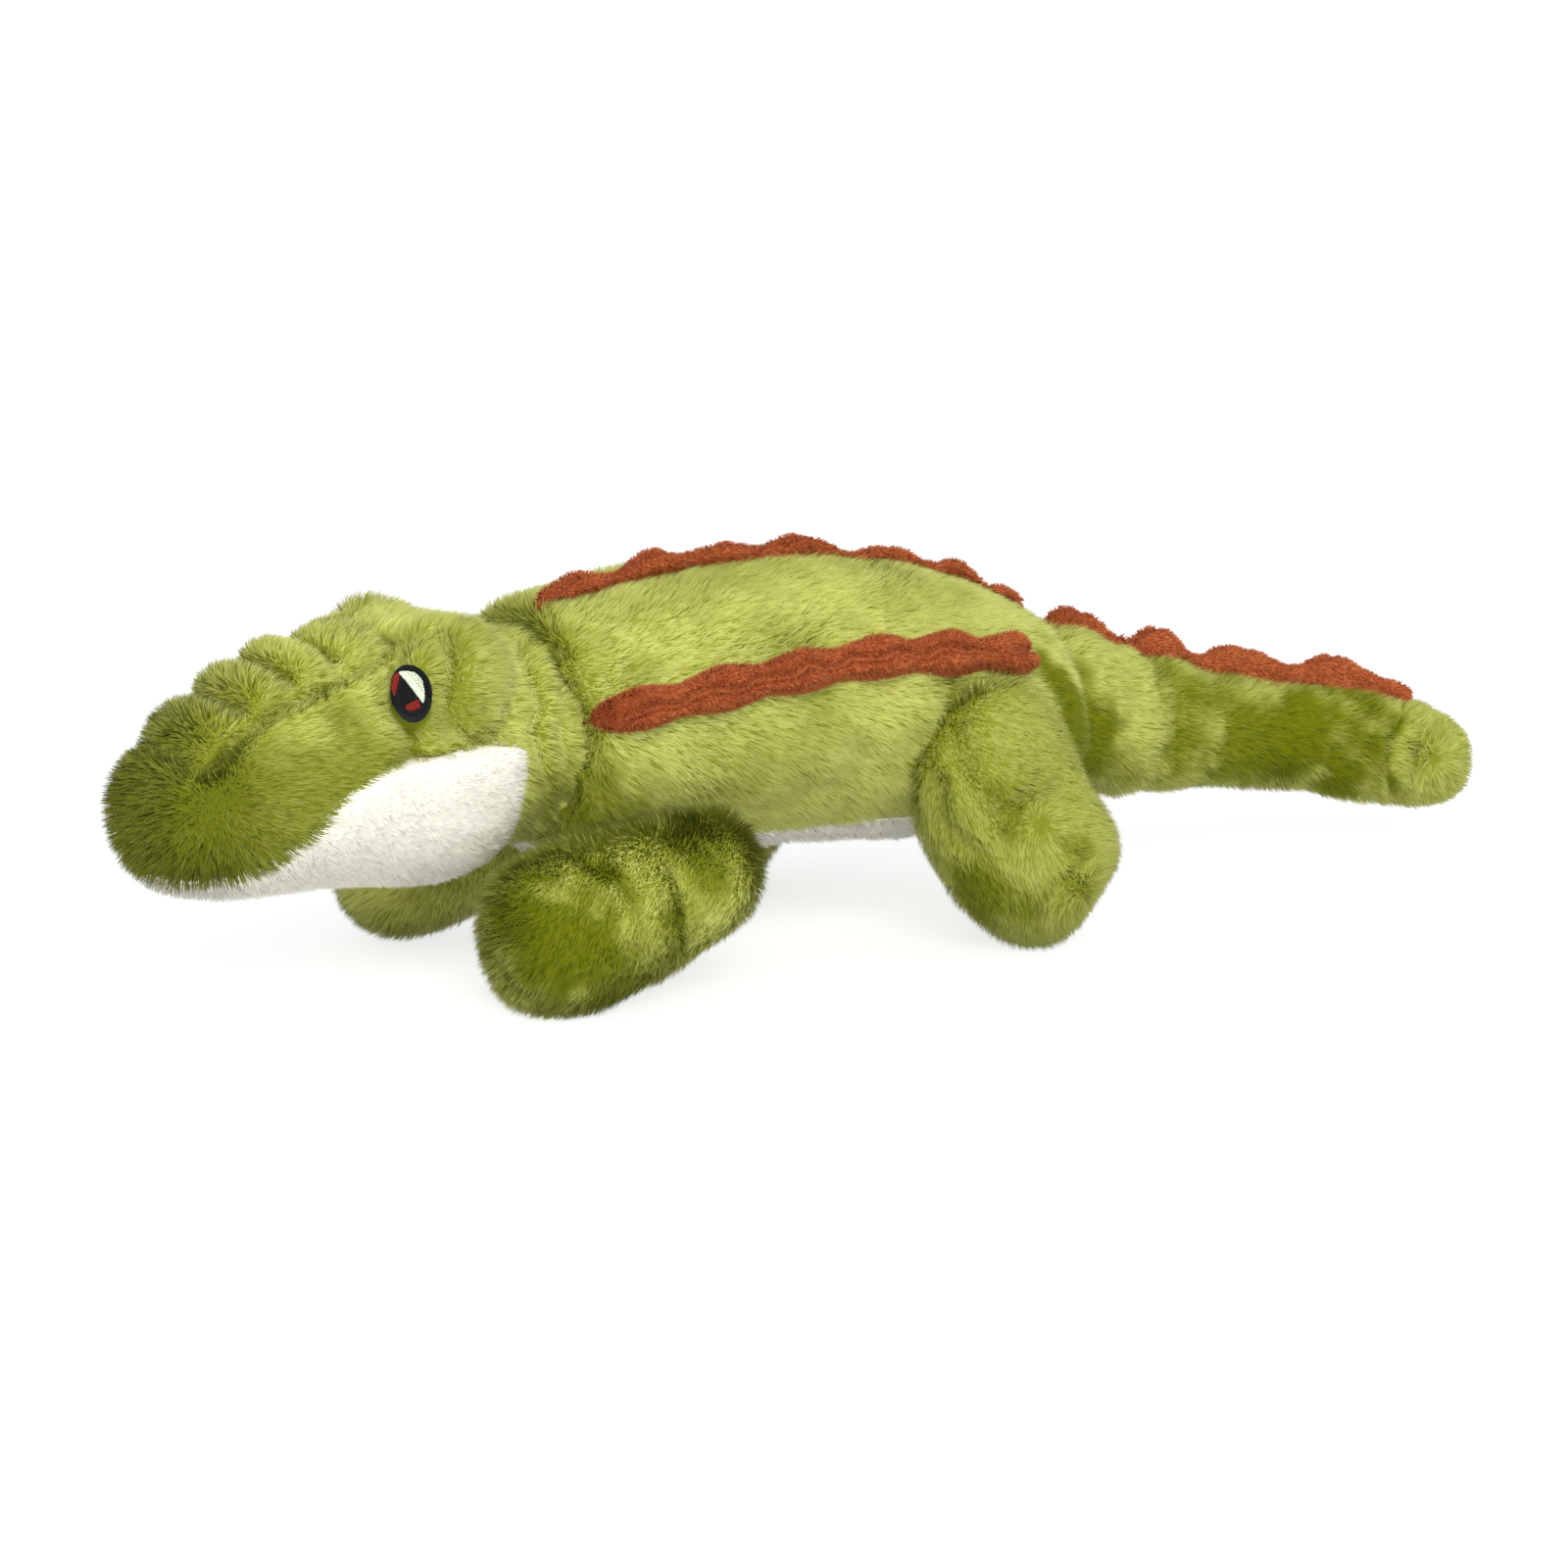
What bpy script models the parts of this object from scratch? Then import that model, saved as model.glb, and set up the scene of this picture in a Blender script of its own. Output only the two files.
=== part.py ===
"""Alligator plush dog toy: stuffed body, head, limbs and tail with sewn crest strips.

Metres, +Z up, floor at z = 0. The head points along -X and the tail along +X.
"""
import bpy
import bmesh
from math import cos, pi, radians, sin, sqrt
from mathutils import Matrix, Vector
from mathutils.bvhtree import BVHTree

# Clearances and cuts
SEAM_GAP = 0.0003
BALL_GAP = 0.0007
CUT_OVERRUN = 0.004
FLOOR_FLAT_DEPTH = 0.0005
FACET_DEPTH = 0.0015

# Torso
TORSO_LENGTH = 0.168
TORSO_HALF_WIDTH = 0.051
TORSO_HALF_HEIGHT = 0.038
TORSO_AXIS_HEIGHT = 0.064
BELLY_SEAM_HEIGHT = 0.0325

# Neck
NECK_HALF_WIDTH = 0.036
NECK_HALF_HEIGHT = 0.029
NECK_SETBACK = 0.0085

# Head
HEAD_LENGTH = 0.103
HEAD_HALF_WIDTH = 0.040
HEAD_HALF_HEIGHT = 0.0325
HEAD_AXIS_RISE = 0.002
HEAD_TURN = radians(4.5)
EYE_MOUND_RADIUS = 0.0165
EYE_MOUND_SPREAD = 0.020
SNOUT_BAND_HALF_WIDTH = 0.0185
SNOUT_BAND_DEPTH = 0.011
SNOUT_BAND_RISE = 0.0032

# Eyes
EYE_HEIGHT = 0.0155
EYE_WIDTH = 0.0115
EYE_PATCH_THICKNESS = 0.0008
EYE_THREAD_THICKNESS = 0.0006

# Tail
TAIL_LENGTH = 0.1405
TAIL_ROOT_RADIUS = 0.0225
TAIL_ROOT_HEIGHT = 0.0535
TAIL_ROOT_SETBACK = 0.011
TAIL_SEAM_DISTANCE = 0.0345
TAIL_SEAM_RADIUS = 0.0185
TAIL_END_HEIGHT = 0.0245
TAIL_SIDE_BEND = 0.022
TAIL_SEAM_CUT_ANGLE = radians(30)

# Legs
FRONT_LEG_LENGTH = 0.081
FRONT_PAW_RADIUS = 0.0225
FRONT_SHOULDER_TILT = radians(52)
FRONT_RIGHT_SWING = radians(-10)
FRONT_HINGE_SHARE = -0.571
FRONT_RIGHT_DRAW_SHARE = 0.90
REAR_LEG_LENGTH = 0.050
REAR_HINGE_SHARE = 0.394
REAR_RIGHT_SWING = radians(75)
REAR_FOOT_RADIUS = 0.0245
REAR_HIP_TILT = radians(20)
LEG_ROOT_DEPTH = 0.004

# Crest strips
CREST_WIDTH = 0.0125
CREST_HEIGHT = 0.0105
CREST_PINCH_SHARE = 0.20

# Squeaker
SQUEAKER_RADIUS = 0.019
SQUEAKER_HEIGHT = 0.022
SQUEAKER_WALL = 0.0012
SQUEAKER_NECK_RADIUS = 0.0055
SQUEAKER_NECK_LENGTH = 0.005
REED_LENGTH = 0.011
REED_BORE_RADIUS = 0.002
POCKET_CLEARANCE = 0.0015
WALL_MERGE_DISTANCE = 0.00001

BODY_RING_POINTS = 12
LIMB_RING_POINTS = 10
BAND_RING_POINTS = 8
ROUNDING_LEVELS = 1
SOCKET_SEGMENTS, SOCKET_STACKS = 24, 14
MOUND_SEGMENTS, MOUND_STACKS = 20, 12
TURNED_STEPS = 18
BULB_ARC_STEPS = 9
POCKET_SEGMENTS = 32
FACET_SEGMENTS = 48
EYE_OUTLINE_POINTS = 24

# Torso rings, front to rear, as shares of the torso's half sizes:
# place along the axis, rise of the axis, width, height
TORSO_RING_SHARES = (
    (-1.00, 0.00, 0.82, 0.93),
    (-0.92, 0.00, 0.87, 0.96),
    (-0.40, 0.02, 0.98, 0.99),
    (0.00, 0.01, 1.02, 1.01),
    (0.35, -0.07, 0.98, 1.00),
    (0.68, -0.20, 0.90, 0.88),
    (0.92, -0.31, 0.73, 0.75),
    (1.01, -0.34, 0.62, 0.68),
)
# Head rings, neck to nose: place along the head, top and bottom above its axis, width
HEAD_RING_SHARES = (
    (0.02, 0.95, -0.95, 0.90),
    (0.24, 1.00, -1.02, 1.00),
    (0.42, 0.98, -1.06, 0.92),
    (0.58, 0.87, -1.09, 0.80),
    (0.72, 0.70, -1.09, 0.74),
    (0.86, 0.47, -1.07, 0.70),
    (0.98, 0.20, -0.98, 0.56),
    (1.03, -0.02, -0.74, 0.36),
)
# Mouth line, nose to cheek, then round the cheek: place along the head, height above its axis
MOUTH_LINE_SHARES = (
    (1.10, -0.86), (0.93, -0.87), (0.76, -0.80), (0.67, -0.58), (0.56, -0.17), (0.47, -0.02),
    (0.35, 0.05), (0.20, 0.09), (0.08, 0.07), (-0.02, -0.05), (-0.10, -0.30),
)
# Snout band seams and the swells between them, as shares of the head's length
SNOUT_SEAM_SHARES = (0.33, 0.53, 0.66, 0.79)
SNOUT_BAND_END_SHARE = 0.95
SNOUT_PINCH_SHARE = 0.80
EYE_MOUND_SHARES = (0.23, 0.56)
EYE_PLACE_SHARES = (0.305, 0.51)
# Way that the eyes face: forward, outward and up
EYE_FACING_SHARES = (0.42, 0.88, 0.12)
# Crown of each quilted segment of the snout band between its two seams
BAND_CROWN_SHARE = 0.5

# Leg stations from root to toe: place along the leg, outward, height, radius
FRONT_LEG_SHARES = (
    (-0.12, 0.13, 0.72, 0.50),
    (-0.04, 0.14, 0.63, 0.80),
    (0.26, 0.18, 0.27, 0.94),
    (0.60, 0.21, 0.00, 1.07),
    (0.79, 0.22, 0.00, 0.90),
    (0.86, 0.22, 0.02, 0.56),
)
REAR_LEG_SHARES = (
    (-0.18, 0.00, 1.50, 0.46),
    (-0.13, 0.02, 1.28, 0.80),
    (0.06, 0.08, 0.74, 1.02),
    (0.36, 0.22, 0.04, 1.06),
    (0.50, 0.32, -0.22, 0.84),
    (0.56, 0.36, -0.32, 0.52),
)
# Tail rings behind the root: place along the tail, drop from root to end, radius as a share
# of the root's, side bend, turn of the ring as a share of a quarter turn
TAIL_RING_SHARES = (
    (0.02, 0.00, 1.00, 0.00, 0.00),
    (0.20, 0.25, 0.85, 0.01, 0.02),
    (0.40, 0.48, 0.76, 0.05, 0.06),
    (0.66, 0.77, 0.71, 0.21, 0.22),
    (0.88, 0.98, 0.72, 0.54, 0.42),
    (0.96, 1.00, 0.62, 0.74, 0.50),
    (1.00, 1.00, 0.36, 0.88, 0.55),
)

# Crest runs: start and end along the piece, and the angle round its section at both and midway
SPINE_CREST_SHARES = (-0.90, 0.98)
SPINE_CREST_ANGLES = (radians(102), radians(93), radians(90))
FLANK_CREST_SHARES = (-0.97, 0.72)
FLANK_CREST_ANGLES = (radians(12), radians(20), radians(25))
TAIL_BASE_CREST_SHARES = (-0.04, 0.150)
TAIL_TIP_CREST_SHARES = (0.185, 0.877)
SPINE_LUMP_COUNT = 7
FLANK_LUMP_COUNT = 6
TAIL_BASE_LUMP_COUNT = 2
TAIL_TIP_LUMP_COUNT = 5
# Crown of a lump between its two pinches: the top strips lean back, the flank strips don't
TOP_CROWN_SHARE = 0.60
FLANK_CROWN_SHARE = 0.50
# Crest section: across its width, up from the cloth
CREST_SECTION_SHARES = (
    (-0.54, 0.24), (-0.32, 1.04), (0.0, 0.66), (0.32, 1.04), (0.54, 0.24), (0.0, -0.45),
)

GREEN = (0.33, 0.43, 0.035)
CREAM = (0.87, 0.87, 0.74)
BROWN = (0.40, 0.085, 0.03)
BLACK = (0.012, 0.012, 0.012)
DARK_RED = (0.16, 0.018, 0.012)
MINT = (0.72, 0.85, 0.62)
PLASTIC = (0.75, 0.75, 0.72)

for old in list(bpy.data.objects):
    bpy.data.objects.remove(old)

parts = bpy.data.collections.new("alligator_plush_dog_toy")
cutters = bpy.data.collections.new("cutters")
bpy.context.scene.collection.children.link(parts)
bpy.context.scene.collection.children.link(cutters)


def material(name, colour, roughness=0.95):
    made = bpy.data.materials.new(name)
    made.use_nodes = True
    shader = made.node_tree.nodes["Principled BSDF"]
    shader.inputs["Base Color"].default_value = (*colour, 1)
    shader.inputs["Roughness"].default_value = roughness
    shader.inputs["Metallic"].default_value = 0
    made.diffuse_color = (*colour, 1)
    return made


def place(obj, collection):
    for other in list(obj.users_collection):
        other.objects.unlink(obj)
    collection.objects.link(obj)
    if collection is cutters:
        obj.hide_render = True
        obj.display_type = "WIRE"
    return obj


def new_object(name, bm, collection):
    mesh = bpy.data.meshes.new(name)
    bmesh.ops.recalc_face_normals(bm, faces=bm.faces)
    bm.to_mesh(mesh)
    bm.free()
    mesh.shade_smooth()
    return place(bpy.data.objects.new(name, mesh), collection)


def ring(centre, side, up, half_width, half_height, count):
    """Cage ring, wide enough that the rounded form has these half sizes."""
    swell = 6 / (4 + 2 * cos(2 * pi / count))
    turns = (2 * pi * (i + 0.5) / count for i in range(count))
    return [
        centre + side * (cos(t) * half_width * swell) + up * (sin(t) * half_height * swell)
        for t in turns
    ]


def rounded(obj):
    smooth = obj.modifiers.new("round", "SUBSURF")
    smooth.levels = smooth.render_levels = ROUNDING_LEVELS
    return obj


def stuffed(name, rings, collection):
    """Stuffed form: a cage lofted through the rings, closed at both ends and rounded."""
    bm = bmesh.new()
    loops = []
    for points in rings:
        verts = [bm.verts.new(p) for p in points]
        loops.append([bm.edges.new(pair) for pair in zip(verts, verts[1:] + verts[:1])])
    for first, second in zip(loops, loops[1:]):
        bmesh.ops.bridge_loops(bm, edges=first + second)
    bmesh.ops.holes_fill(bm, edges=loops[0] + loops[-1], sides=len(rings[0]))
    return rounded(new_object(name, bm, collection))


def ellipsoid(name, centre, radii, collection=cutters, segments=SOCKET_SEGMENTS, stacks=SOCKET_STACKS):
    """Radii are front, rear, side and height: the front half may be shorter than the rear."""
    front, rear, side, height = radii
    bm = bmesh.new()
    bmesh.ops.create_uvsphere(bm, u_segments=segments, v_segments=stacks, radius=1)
    for v in bm.verts:
        v.co = Vector((v.co.x * (front if v.co.x < 0 else rear), v.co.y * side, v.co.z * height))
    obj = new_object(name, bm, collection)
    obj.location = centre
    return obj


def box(name, low, high):
    bm = bmesh.new()
    bmesh.ops.create_cube(bm, size=1)
    for v in bm.verts:
        v.co = Vector((b if s > 0 else a) for s, a, b in zip(v.co, low, high))
    return new_object(name, bm, cutters)


def evaluated(obj):
    bpy.context.view_layer.update()
    graph = bpy.context.evaluated_depsgraph_get()
    made = obj.evaluated_get(graph)
    return made, graph


def boolean(obj, cutter, operation="DIFFERENCE"):
    """The exact solver cuts, and the manifold one takes over where it leaves nothing."""
    cut = obj.modifiers.new(f"{operation.lower()}_{cutter.name}", "BOOLEAN")
    cut.operation = operation
    cut.object = cutter
    cut.solver = "EXACT"
    made, _ = evaluated(obj)
    if not made.data.polygons:
        cut.solver = "MANIFOLD"
    return obj


def swollen(obj, distance, name):
    """Cutter of the same shape with its surface moved outward by a distance."""
    made = obj.copy()
    made.name = name
    place(made, cutters)
    move = made.modifiers.new("swell", "DISPLACE")
    move.strength = distance
    move.mid_level = 0
    return made


def surface_finder(obj):
    """Function that gives the point and normal where a ray from inside leaves the form."""
    made, graph = evaluated(obj)
    mesh = made.to_mesh()
    mesh.transform(made.matrix_world)
    corners = [v.co.copy() for v in mesh.vertices]
    faces = [tuple(p.vertices) for p in mesh.polygons]
    tree = BVHTree.FromPolygons(corners, faces)
    made.to_mesh_clear()

    def find(origin, direction):
        point, normal, _, _ = tree.ray_cast(origin, direction.normalized())
        return point, normal

    return find


def mix(a, b, share):
    return a + (b - a) * share


green = material("green_pile", GREEN)
cream = material("cream_pile", CREAM)
brown = material("brown_pile", BROWN)
black = material("black_thread", BLACK, 0.7)
dark_red = material("dark_red_thread", DARK_RED, 0.7)
mint = material("mint_thread", MINT, 0.7)
plastic = material("squeaker_plastic", PLASTIC, 0.45)


# Torso

torso_half = TORSO_LENGTH / 2
torso_front, torso_rear = -torso_half, torso_half
X, Y, Z = Vector((1, 0, 0)), Vector((0, 1, 0)), Vector((0, 0, 1))


def torso_section(share):
    """Axis height, half width and half height of the torso at a share of its half length."""
    rows = TORSO_RING_SHARES
    for a, b in zip(rows, rows[1:]):
        if share <= b[0] or b is rows[-1]:
            t = min(max((share - a[0]) / (b[0] - a[0]), 0), 1)
            rise, width, height = (mix(a[i], b[i], t) for i in (1, 2, 3))
            break
    axis = TORSO_AXIS_HEIGHT + rise * TORSO_HALF_HEIGHT
    return axis, width * TORSO_HALF_WIDTH, height * TORSO_HALF_HEIGHT


def make_torso_form():
    rings = []
    for share, *_ in TORSO_RING_SHARES:
        axis, half_width, half_height = torso_section(share)
        centre = Vector((share * torso_half, 0, axis))
        rings.append(ring(centre, Y, Z, half_width, half_height, BODY_RING_POINTS))
    return stuffed("torso_form", rings, cutters)


torso_form = make_torso_form()
torso_surface = surface_finder(torso_form)
torso_clearance = swollen(torso_form, SEAM_GAP, "torso_clearance")
reach = TORSO_LENGTH + HEAD_LENGTH + TAIL_LENGTH


def body_part(name, form, look):
    """A visible piece that starts as a copy of a form."""
    made = form.copy()
    made.name = name
    place(made, parts)
    made.hide_render = False
    made.display_type = "TEXTURED"
    made.data = form.data.copy()
    made.data.materials.append(look)
    return made


torso = body_part("torso", torso_form, green)
belly_panel = body_part("belly_panel", torso_form, cream)
seam_low = BELLY_SEAM_HEIGHT - SEAM_GAP / 2
seam_high = BELLY_SEAM_HEIGHT + SEAM_GAP / 2
below_seam = box("below_seam", (-reach, -reach, -reach), (reach, reach, seam_high))
above_seam = box("above_seam", (-reach, -reach, seam_low), (reach, reach, reach))


# Squeaker in its pocket over the belly panel

squeaker_centre = Vector((0, 0, BELLY_SEAM_HEIGHT + SEAM_GAP / 2))


def turned(name, profile, look):
    """Piece turned about its own Z axis from an open profile, with its wall inward."""
    bm = bmesh.new()
    verts = [bm.verts.new((r, 0, z)) for r, z in profile]
    for pair in zip(verts, verts[1:]):
        bm.edges.new(pair)
    obj = new_object(name, bm, parts)
    turn = obj.modifiers.new("turn", "SCREW")
    turn.steps = turn.render_steps = TURNED_STEPS
    turn.use_merge_vertices = True
    turn.merge_threshold = WALL_MERGE_DISTANCE
    obj.data.materials.append(look)
    return obj


def make_squeaker():
    bulb_rise = SQUEAKER_HEIGHT / 2
    top = SQUEAKER_HEIGHT
    start = SQUEAKER_NECK_RADIUS / SQUEAKER_RADIUS
    neck_angle = pi / 2 - start
    profile = [(SQUEAKER_NECK_RADIUS, top + SQUEAKER_NECK_LENGTH)]
    for i in range(BULB_ARC_STEPS + 1):
        angle = mix(neck_angle, -pi / 2, i / BULB_ARC_STEPS)
        profile.append((SQUEAKER_RADIUS * cos(angle), bulb_rise + bulb_rise * sin(angle)))
    profile[-1] = (0, 0)
    bulb = turned("squeaker_bulb", profile, plastic)
    wall = bulb.modifiers.new("wall", "SOLIDIFY")
    wall.thickness = SQUEAKER_WALL
    wall.offset = -1
    bulb.location = squeaker_centre
    reed_radius = SQUEAKER_NECK_RADIUS - SQUEAKER_WALL - SEAM_GAP
    neck_top = top + SQUEAKER_NECK_LENGTH
    flange = SQUEAKER_NECK_RADIUS
    reed = turned("squeaker_reed", [
        (REED_BORE_RADIUS, neck_top + SEAM_GAP + SQUEAKER_WALL),
        (flange, neck_top + SEAM_GAP + SQUEAKER_WALL),
        (flange, neck_top + SEAM_GAP),
        (reed_radius, neck_top + SEAM_GAP),
        (reed_radius, neck_top - REED_LENGTH),
        (REED_BORE_RADIUS, neck_top - REED_LENGTH),
        (REED_BORE_RADIUS, neck_top + SEAM_GAP + SQUEAKER_WALL),
    ], plastic)
    reed.location = squeaker_centre
    return bulb, reed


squeaker_bulb, squeaker_reed = make_squeaker()
pocket_depth = SQUEAKER_HEIGHT + SQUEAKER_NECK_LENGTH + SQUEAKER_WALL + SEAM_GAP + POCKET_CLEARANCE
bm = bmesh.new()
bmesh.ops.create_cone(
    bm, cap_ends=True, segments=POCKET_SEGMENTS, radius1=SQUEAKER_RADIUS + POCKET_CLEARANCE,
    radius2=SQUEAKER_RADIUS + POCKET_CLEARANCE, depth=pocket_depth + CUT_OVERRUN,
)
pocket = new_object("squeaker_pocket", bm, cutters)
pocket.location = squeaker_centre + Z * ((pocket_depth - CUT_OVERRUN) / 2)
boolean(torso, pocket)


# Neck: its rear half turns in the torso about Z, its front half nods in the head about Y

neck_height = torso_section(-1)[0]
neck_centre = Vector((torso_front - NECK_SETBACK, 0, neck_height))
neck_radii = (NECK_HALF_HEIGHT, NECK_HALF_WIDTH, NECK_HALF_WIDTH, NECK_HALF_HEIGHT)
neck = ellipsoid("neck", neck_centre, neck_radii, parts)
neck.data.materials.append(green)
neck_socket = ellipsoid("neck_socket", neck_centre, [r + BALL_GAP for r in neck_radii])
boolean(torso, neck_socket)
boolean(belly_panel, neck_socket)


# Head, built straight ahead of the neck and then turned

head_axis = neck_centre + Z * HEAD_AXIS_RISE


def head_point(share, height_share, side=0):
    """Point of the straight head: share of its length, share of its half height, side offset."""
    return head_axis + Vector((-share * HEAD_LENGTH, side, height_share * HEAD_HALF_HEIGHT))


def make_head_form():
    rings = []
    for share, top, bottom, width in HEAD_RING_SHARES:
        middle = (top + bottom) / 2
        half_height = (top - bottom) / 2 * HEAD_HALF_HEIGHT
        centre = head_point(share, middle)
        rings.append(ring(centre, Y, Z, width * HEAD_HALF_WIDTH, half_height, BODY_RING_POINTS))
    return stuffed("head_form", rings, cutters)


head_form = make_head_form()
head = body_part("head", head_form, green)
mound_share, mound_rise = EYE_MOUND_SHARES
for side, sign in (("left", -1), ("right", 1)):
    centre = head_point(mound_share, mound_rise, sign * EYE_MOUND_SPREAD)
    mound = ellipsoid(
        f"{side}_eye_mound", centre, [EYE_MOUND_RADIUS] * 4, cutters, MOUND_SEGMENTS, MOUND_STACKS,
    )
    boolean(head, mound, "UNION")
    boolean(head_form, mound, "UNION")


def make_mouth_block():
    """Outline below the mouth line, drawn in the side view and run through the head."""
    line = [head_point(*pair) for pair in MOUTH_LINE_SHARES]
    low = head_axis.z - 2 * HEAD_HALF_HEIGHT
    outline = line + [Vector((line[-1].x, 0, low)), Vector((line[0].x, 0, low))]
    bm = bmesh.new()
    face = bm.faces.new([bm.verts.new(p - Y * (2 * HEAD_HALF_WIDTH)) for p in outline])
    made = bmesh.ops.extrude_face_region(bm, geom=[face])
    moved = [v for v in made["geom"] if isinstance(v, bmesh.types.BMVert)]
    bmesh.ops.translate(bm, verts=moved, vec=Y * (4 * HEAD_HALF_WIDTH))
    return new_object("mouth_block", bm, cutters)


mouth_block = make_mouth_block()
mouth_clearance = swollen(mouth_block, SEAM_GAP, "mouth_clearance")
lower_jaw = body_part("lower_jaw", head_form, cream)
boolean(lower_jaw, mouth_block, "INTERSECT")
head_socket = ellipsoid("head_socket", neck_centre, [r + BALL_GAP for r in neck_radii])
boolean(lower_jaw, head_socket)
boolean(head, mouth_clearance)
boolean(head, head_socket)


# Quilted band over the snout

def snout_top(share):
    rows = HEAD_RING_SHARES
    for a, b in zip(rows, rows[1:]):
        if share <= b[0] or b is rows[-1]:
            return mix(a[1], b[1], (share - a[0]) / (b[0] - a[0])) * HEAD_HALF_HEIGHT


def make_snout_band():
    seams = list(SNOUT_SEAM_SHARES) + [SNOUT_BAND_END_SHARE]
    stations = [(seams[0], SNOUT_PINCH_SHARE)]
    for a, b in zip(seams, seams[1:]):
        stations += [(mix(a, b, BAND_CROWN_SHARE), 1), (b, SNOUT_PINCH_SHARE)]
    rings = []
    for share, swell in stations:
        top = snout_top(share) + SNOUT_BAND_RISE
        centre = head_axis + Vector((-share * HEAD_LENGTH, 0, top - SNOUT_BAND_DEPTH))
        half_height = SNOUT_BAND_DEPTH * swell
        half_width = SNOUT_BAND_HALF_WIDTH * swell
        rings.append(ring(centre, Y, Z, half_width, half_height, BAND_RING_POINTS))
    return stuffed("snout_band", rings, parts)


snout_band = make_snout_band()
snout_band.data.materials.append(green)
band_clearance = swollen(snout_band, SEAM_GAP, "snout_band_clearance")
boolean(head, band_clearance)
boolean(head_form, band_clearance, "UNION")


# Embroidered eyes, stitched in layers on the eye mounds

def oval_prism(name, centre, outward, offset, half_sizes, lean=0):
    """Upright oval run through the head's skin along the outward direction."""
    frame = outward.to_track_quat("Z", "Y").to_matrix()
    bm = bmesh.new()
    bmesh.ops.create_cone(
        bm, cap_ends=True, segments=EYE_OUTLINE_POINTS, radius1=1, radius2=1,
        depth=2 * EYE_MOUND_RADIUS,
    )
    for v in bm.verts:
        v.co.x *= half_sizes[0]
        v.co.y *= half_sizes[1]
    bmesh.ops.rotate(bm, verts=bm.verts, matrix=Matrix.Rotation(lean, 3, "Z"))
    bmesh.ops.translate(bm, verts=bm.verts, vec=Vector((*offset, 0)))
    made = new_object(name, bm, cutters)
    made.matrix_world = Matrix.Translation(centre) @ frame.to_4x4()
    return made


head_surface = surface_finder(head_form)
patch_low, patch_high = SEAM_GAP, SEAM_GAP + EYE_PATCH_THICKNESS
thread_low = patch_high + SEAM_GAP
thread_high = thread_low + EYE_THREAD_THICKNESS
skins = {
    level: swollen(head_form, level, f"eye_skin_{i}")
    for i, level in enumerate((patch_low, patch_high, thread_low, thread_high))
}
eye_half = (EYE_WIDTH / 2, EYE_HEIGHT / 2)
# Stitched areas: offset across and up, half width and half height, as shares of the eye's,
# and the lean of the oval
IRIS_SHARES = (-0.28, -0.18, 0.50, 0.60, 0.20)
GLINT_SHARES = (0.40, 0.22, 0.34, 0.62, 0.10)
PUPIL_SHARES = (0.06, 0.02, 0.20, 0.72, 0.25)


def eye_layer(name, prism, low, high, look):
    made = skins[high].copy()
    made.name = name
    place(made, parts)
    made.hide_render = False
    made.display_type = "TEXTURED"
    made.data = skins[high].data.copy()
    made.data.materials.append(look)
    boolean(made, prism, "INTERSECT")
    boolean(made, skins[low])
    return made


def make_eye(side, sign):
    place_share, place_rise = EYE_PLACE_SHARES
    start = head_point(place_share, place_rise, sign * EYE_MOUND_SPREAD / 2)
    ahead, aside, above = EYE_FACING_SHARES
    outward = Vector((-ahead, sign * aside, above)).normalized()
    centre, _ = head_surface(start, outward)
    patch_prism = oval_prism(f"{side}_eye_outline", centre, outward, (0, 0), eye_half)
    pieces = [eye_layer(f"{side}_eye_patch", patch_prism, patch_low, patch_high, black)]
    prisms = {}
    for label, shares in (("iris", IRIS_SHARES), ("glint", GLINT_SHARES), ("pupil", PUPIL_SHARES)):
        across, up, width, height, lean = shares
        offset = (-sign * across * eye_half[0], up * eye_half[1])
        sizes = (width * eye_half[0], height * eye_half[1])
        outline = f"{side}_{label}_outline"
        prisms[label] = oval_prism(outline, centre, outward, offset, sizes, sign * lean)
    for label, look in (("iris", dark_red), ("glint", mint)):
        layer = eye_layer(f"{side}_eye_{label}", prisms[label], thread_low, thread_high, look)
        boolean(layer, prisms["pupil"])
        pieces.append(layer)
    boolean(pieces[2], prisms["iris"])
    return pieces


eyes = make_eye("left", -1) + make_eye("right", 1)


# Tail: a ball in the torso's socket, a base, and a tip whose ball sits in the base

tail_root = Vector((torso_rear + TAIL_ROOT_SETBACK, 0, TAIL_ROOT_HEIGHT))
tail_seam = tail_root + Vector((
    TAIL_SEAM_DISTANCE, 0, (TAIL_END_HEIGHT - TAIL_ROOT_HEIGHT) * TAIL_SEAM_DISTANCE / TAIL_LENGTH
))


def tail_ring(row):
    place_share, drop, radius_share, bend, turn = row
    centre = tail_root + Vector((
        place_share * TAIL_LENGTH,
        -bend * TAIL_SIDE_BEND,
        drop * (TAIL_END_HEIGHT - TAIL_ROOT_HEIGHT),
    ))
    radius = radius_share * TAIL_ROOT_RADIUS
    swing = Matrix.Rotation(-turn * pi / 2, 3, "Z")
    return ring(centre, swing @ Y, Z, radius, radius, LIMB_RING_POINTS)


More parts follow.
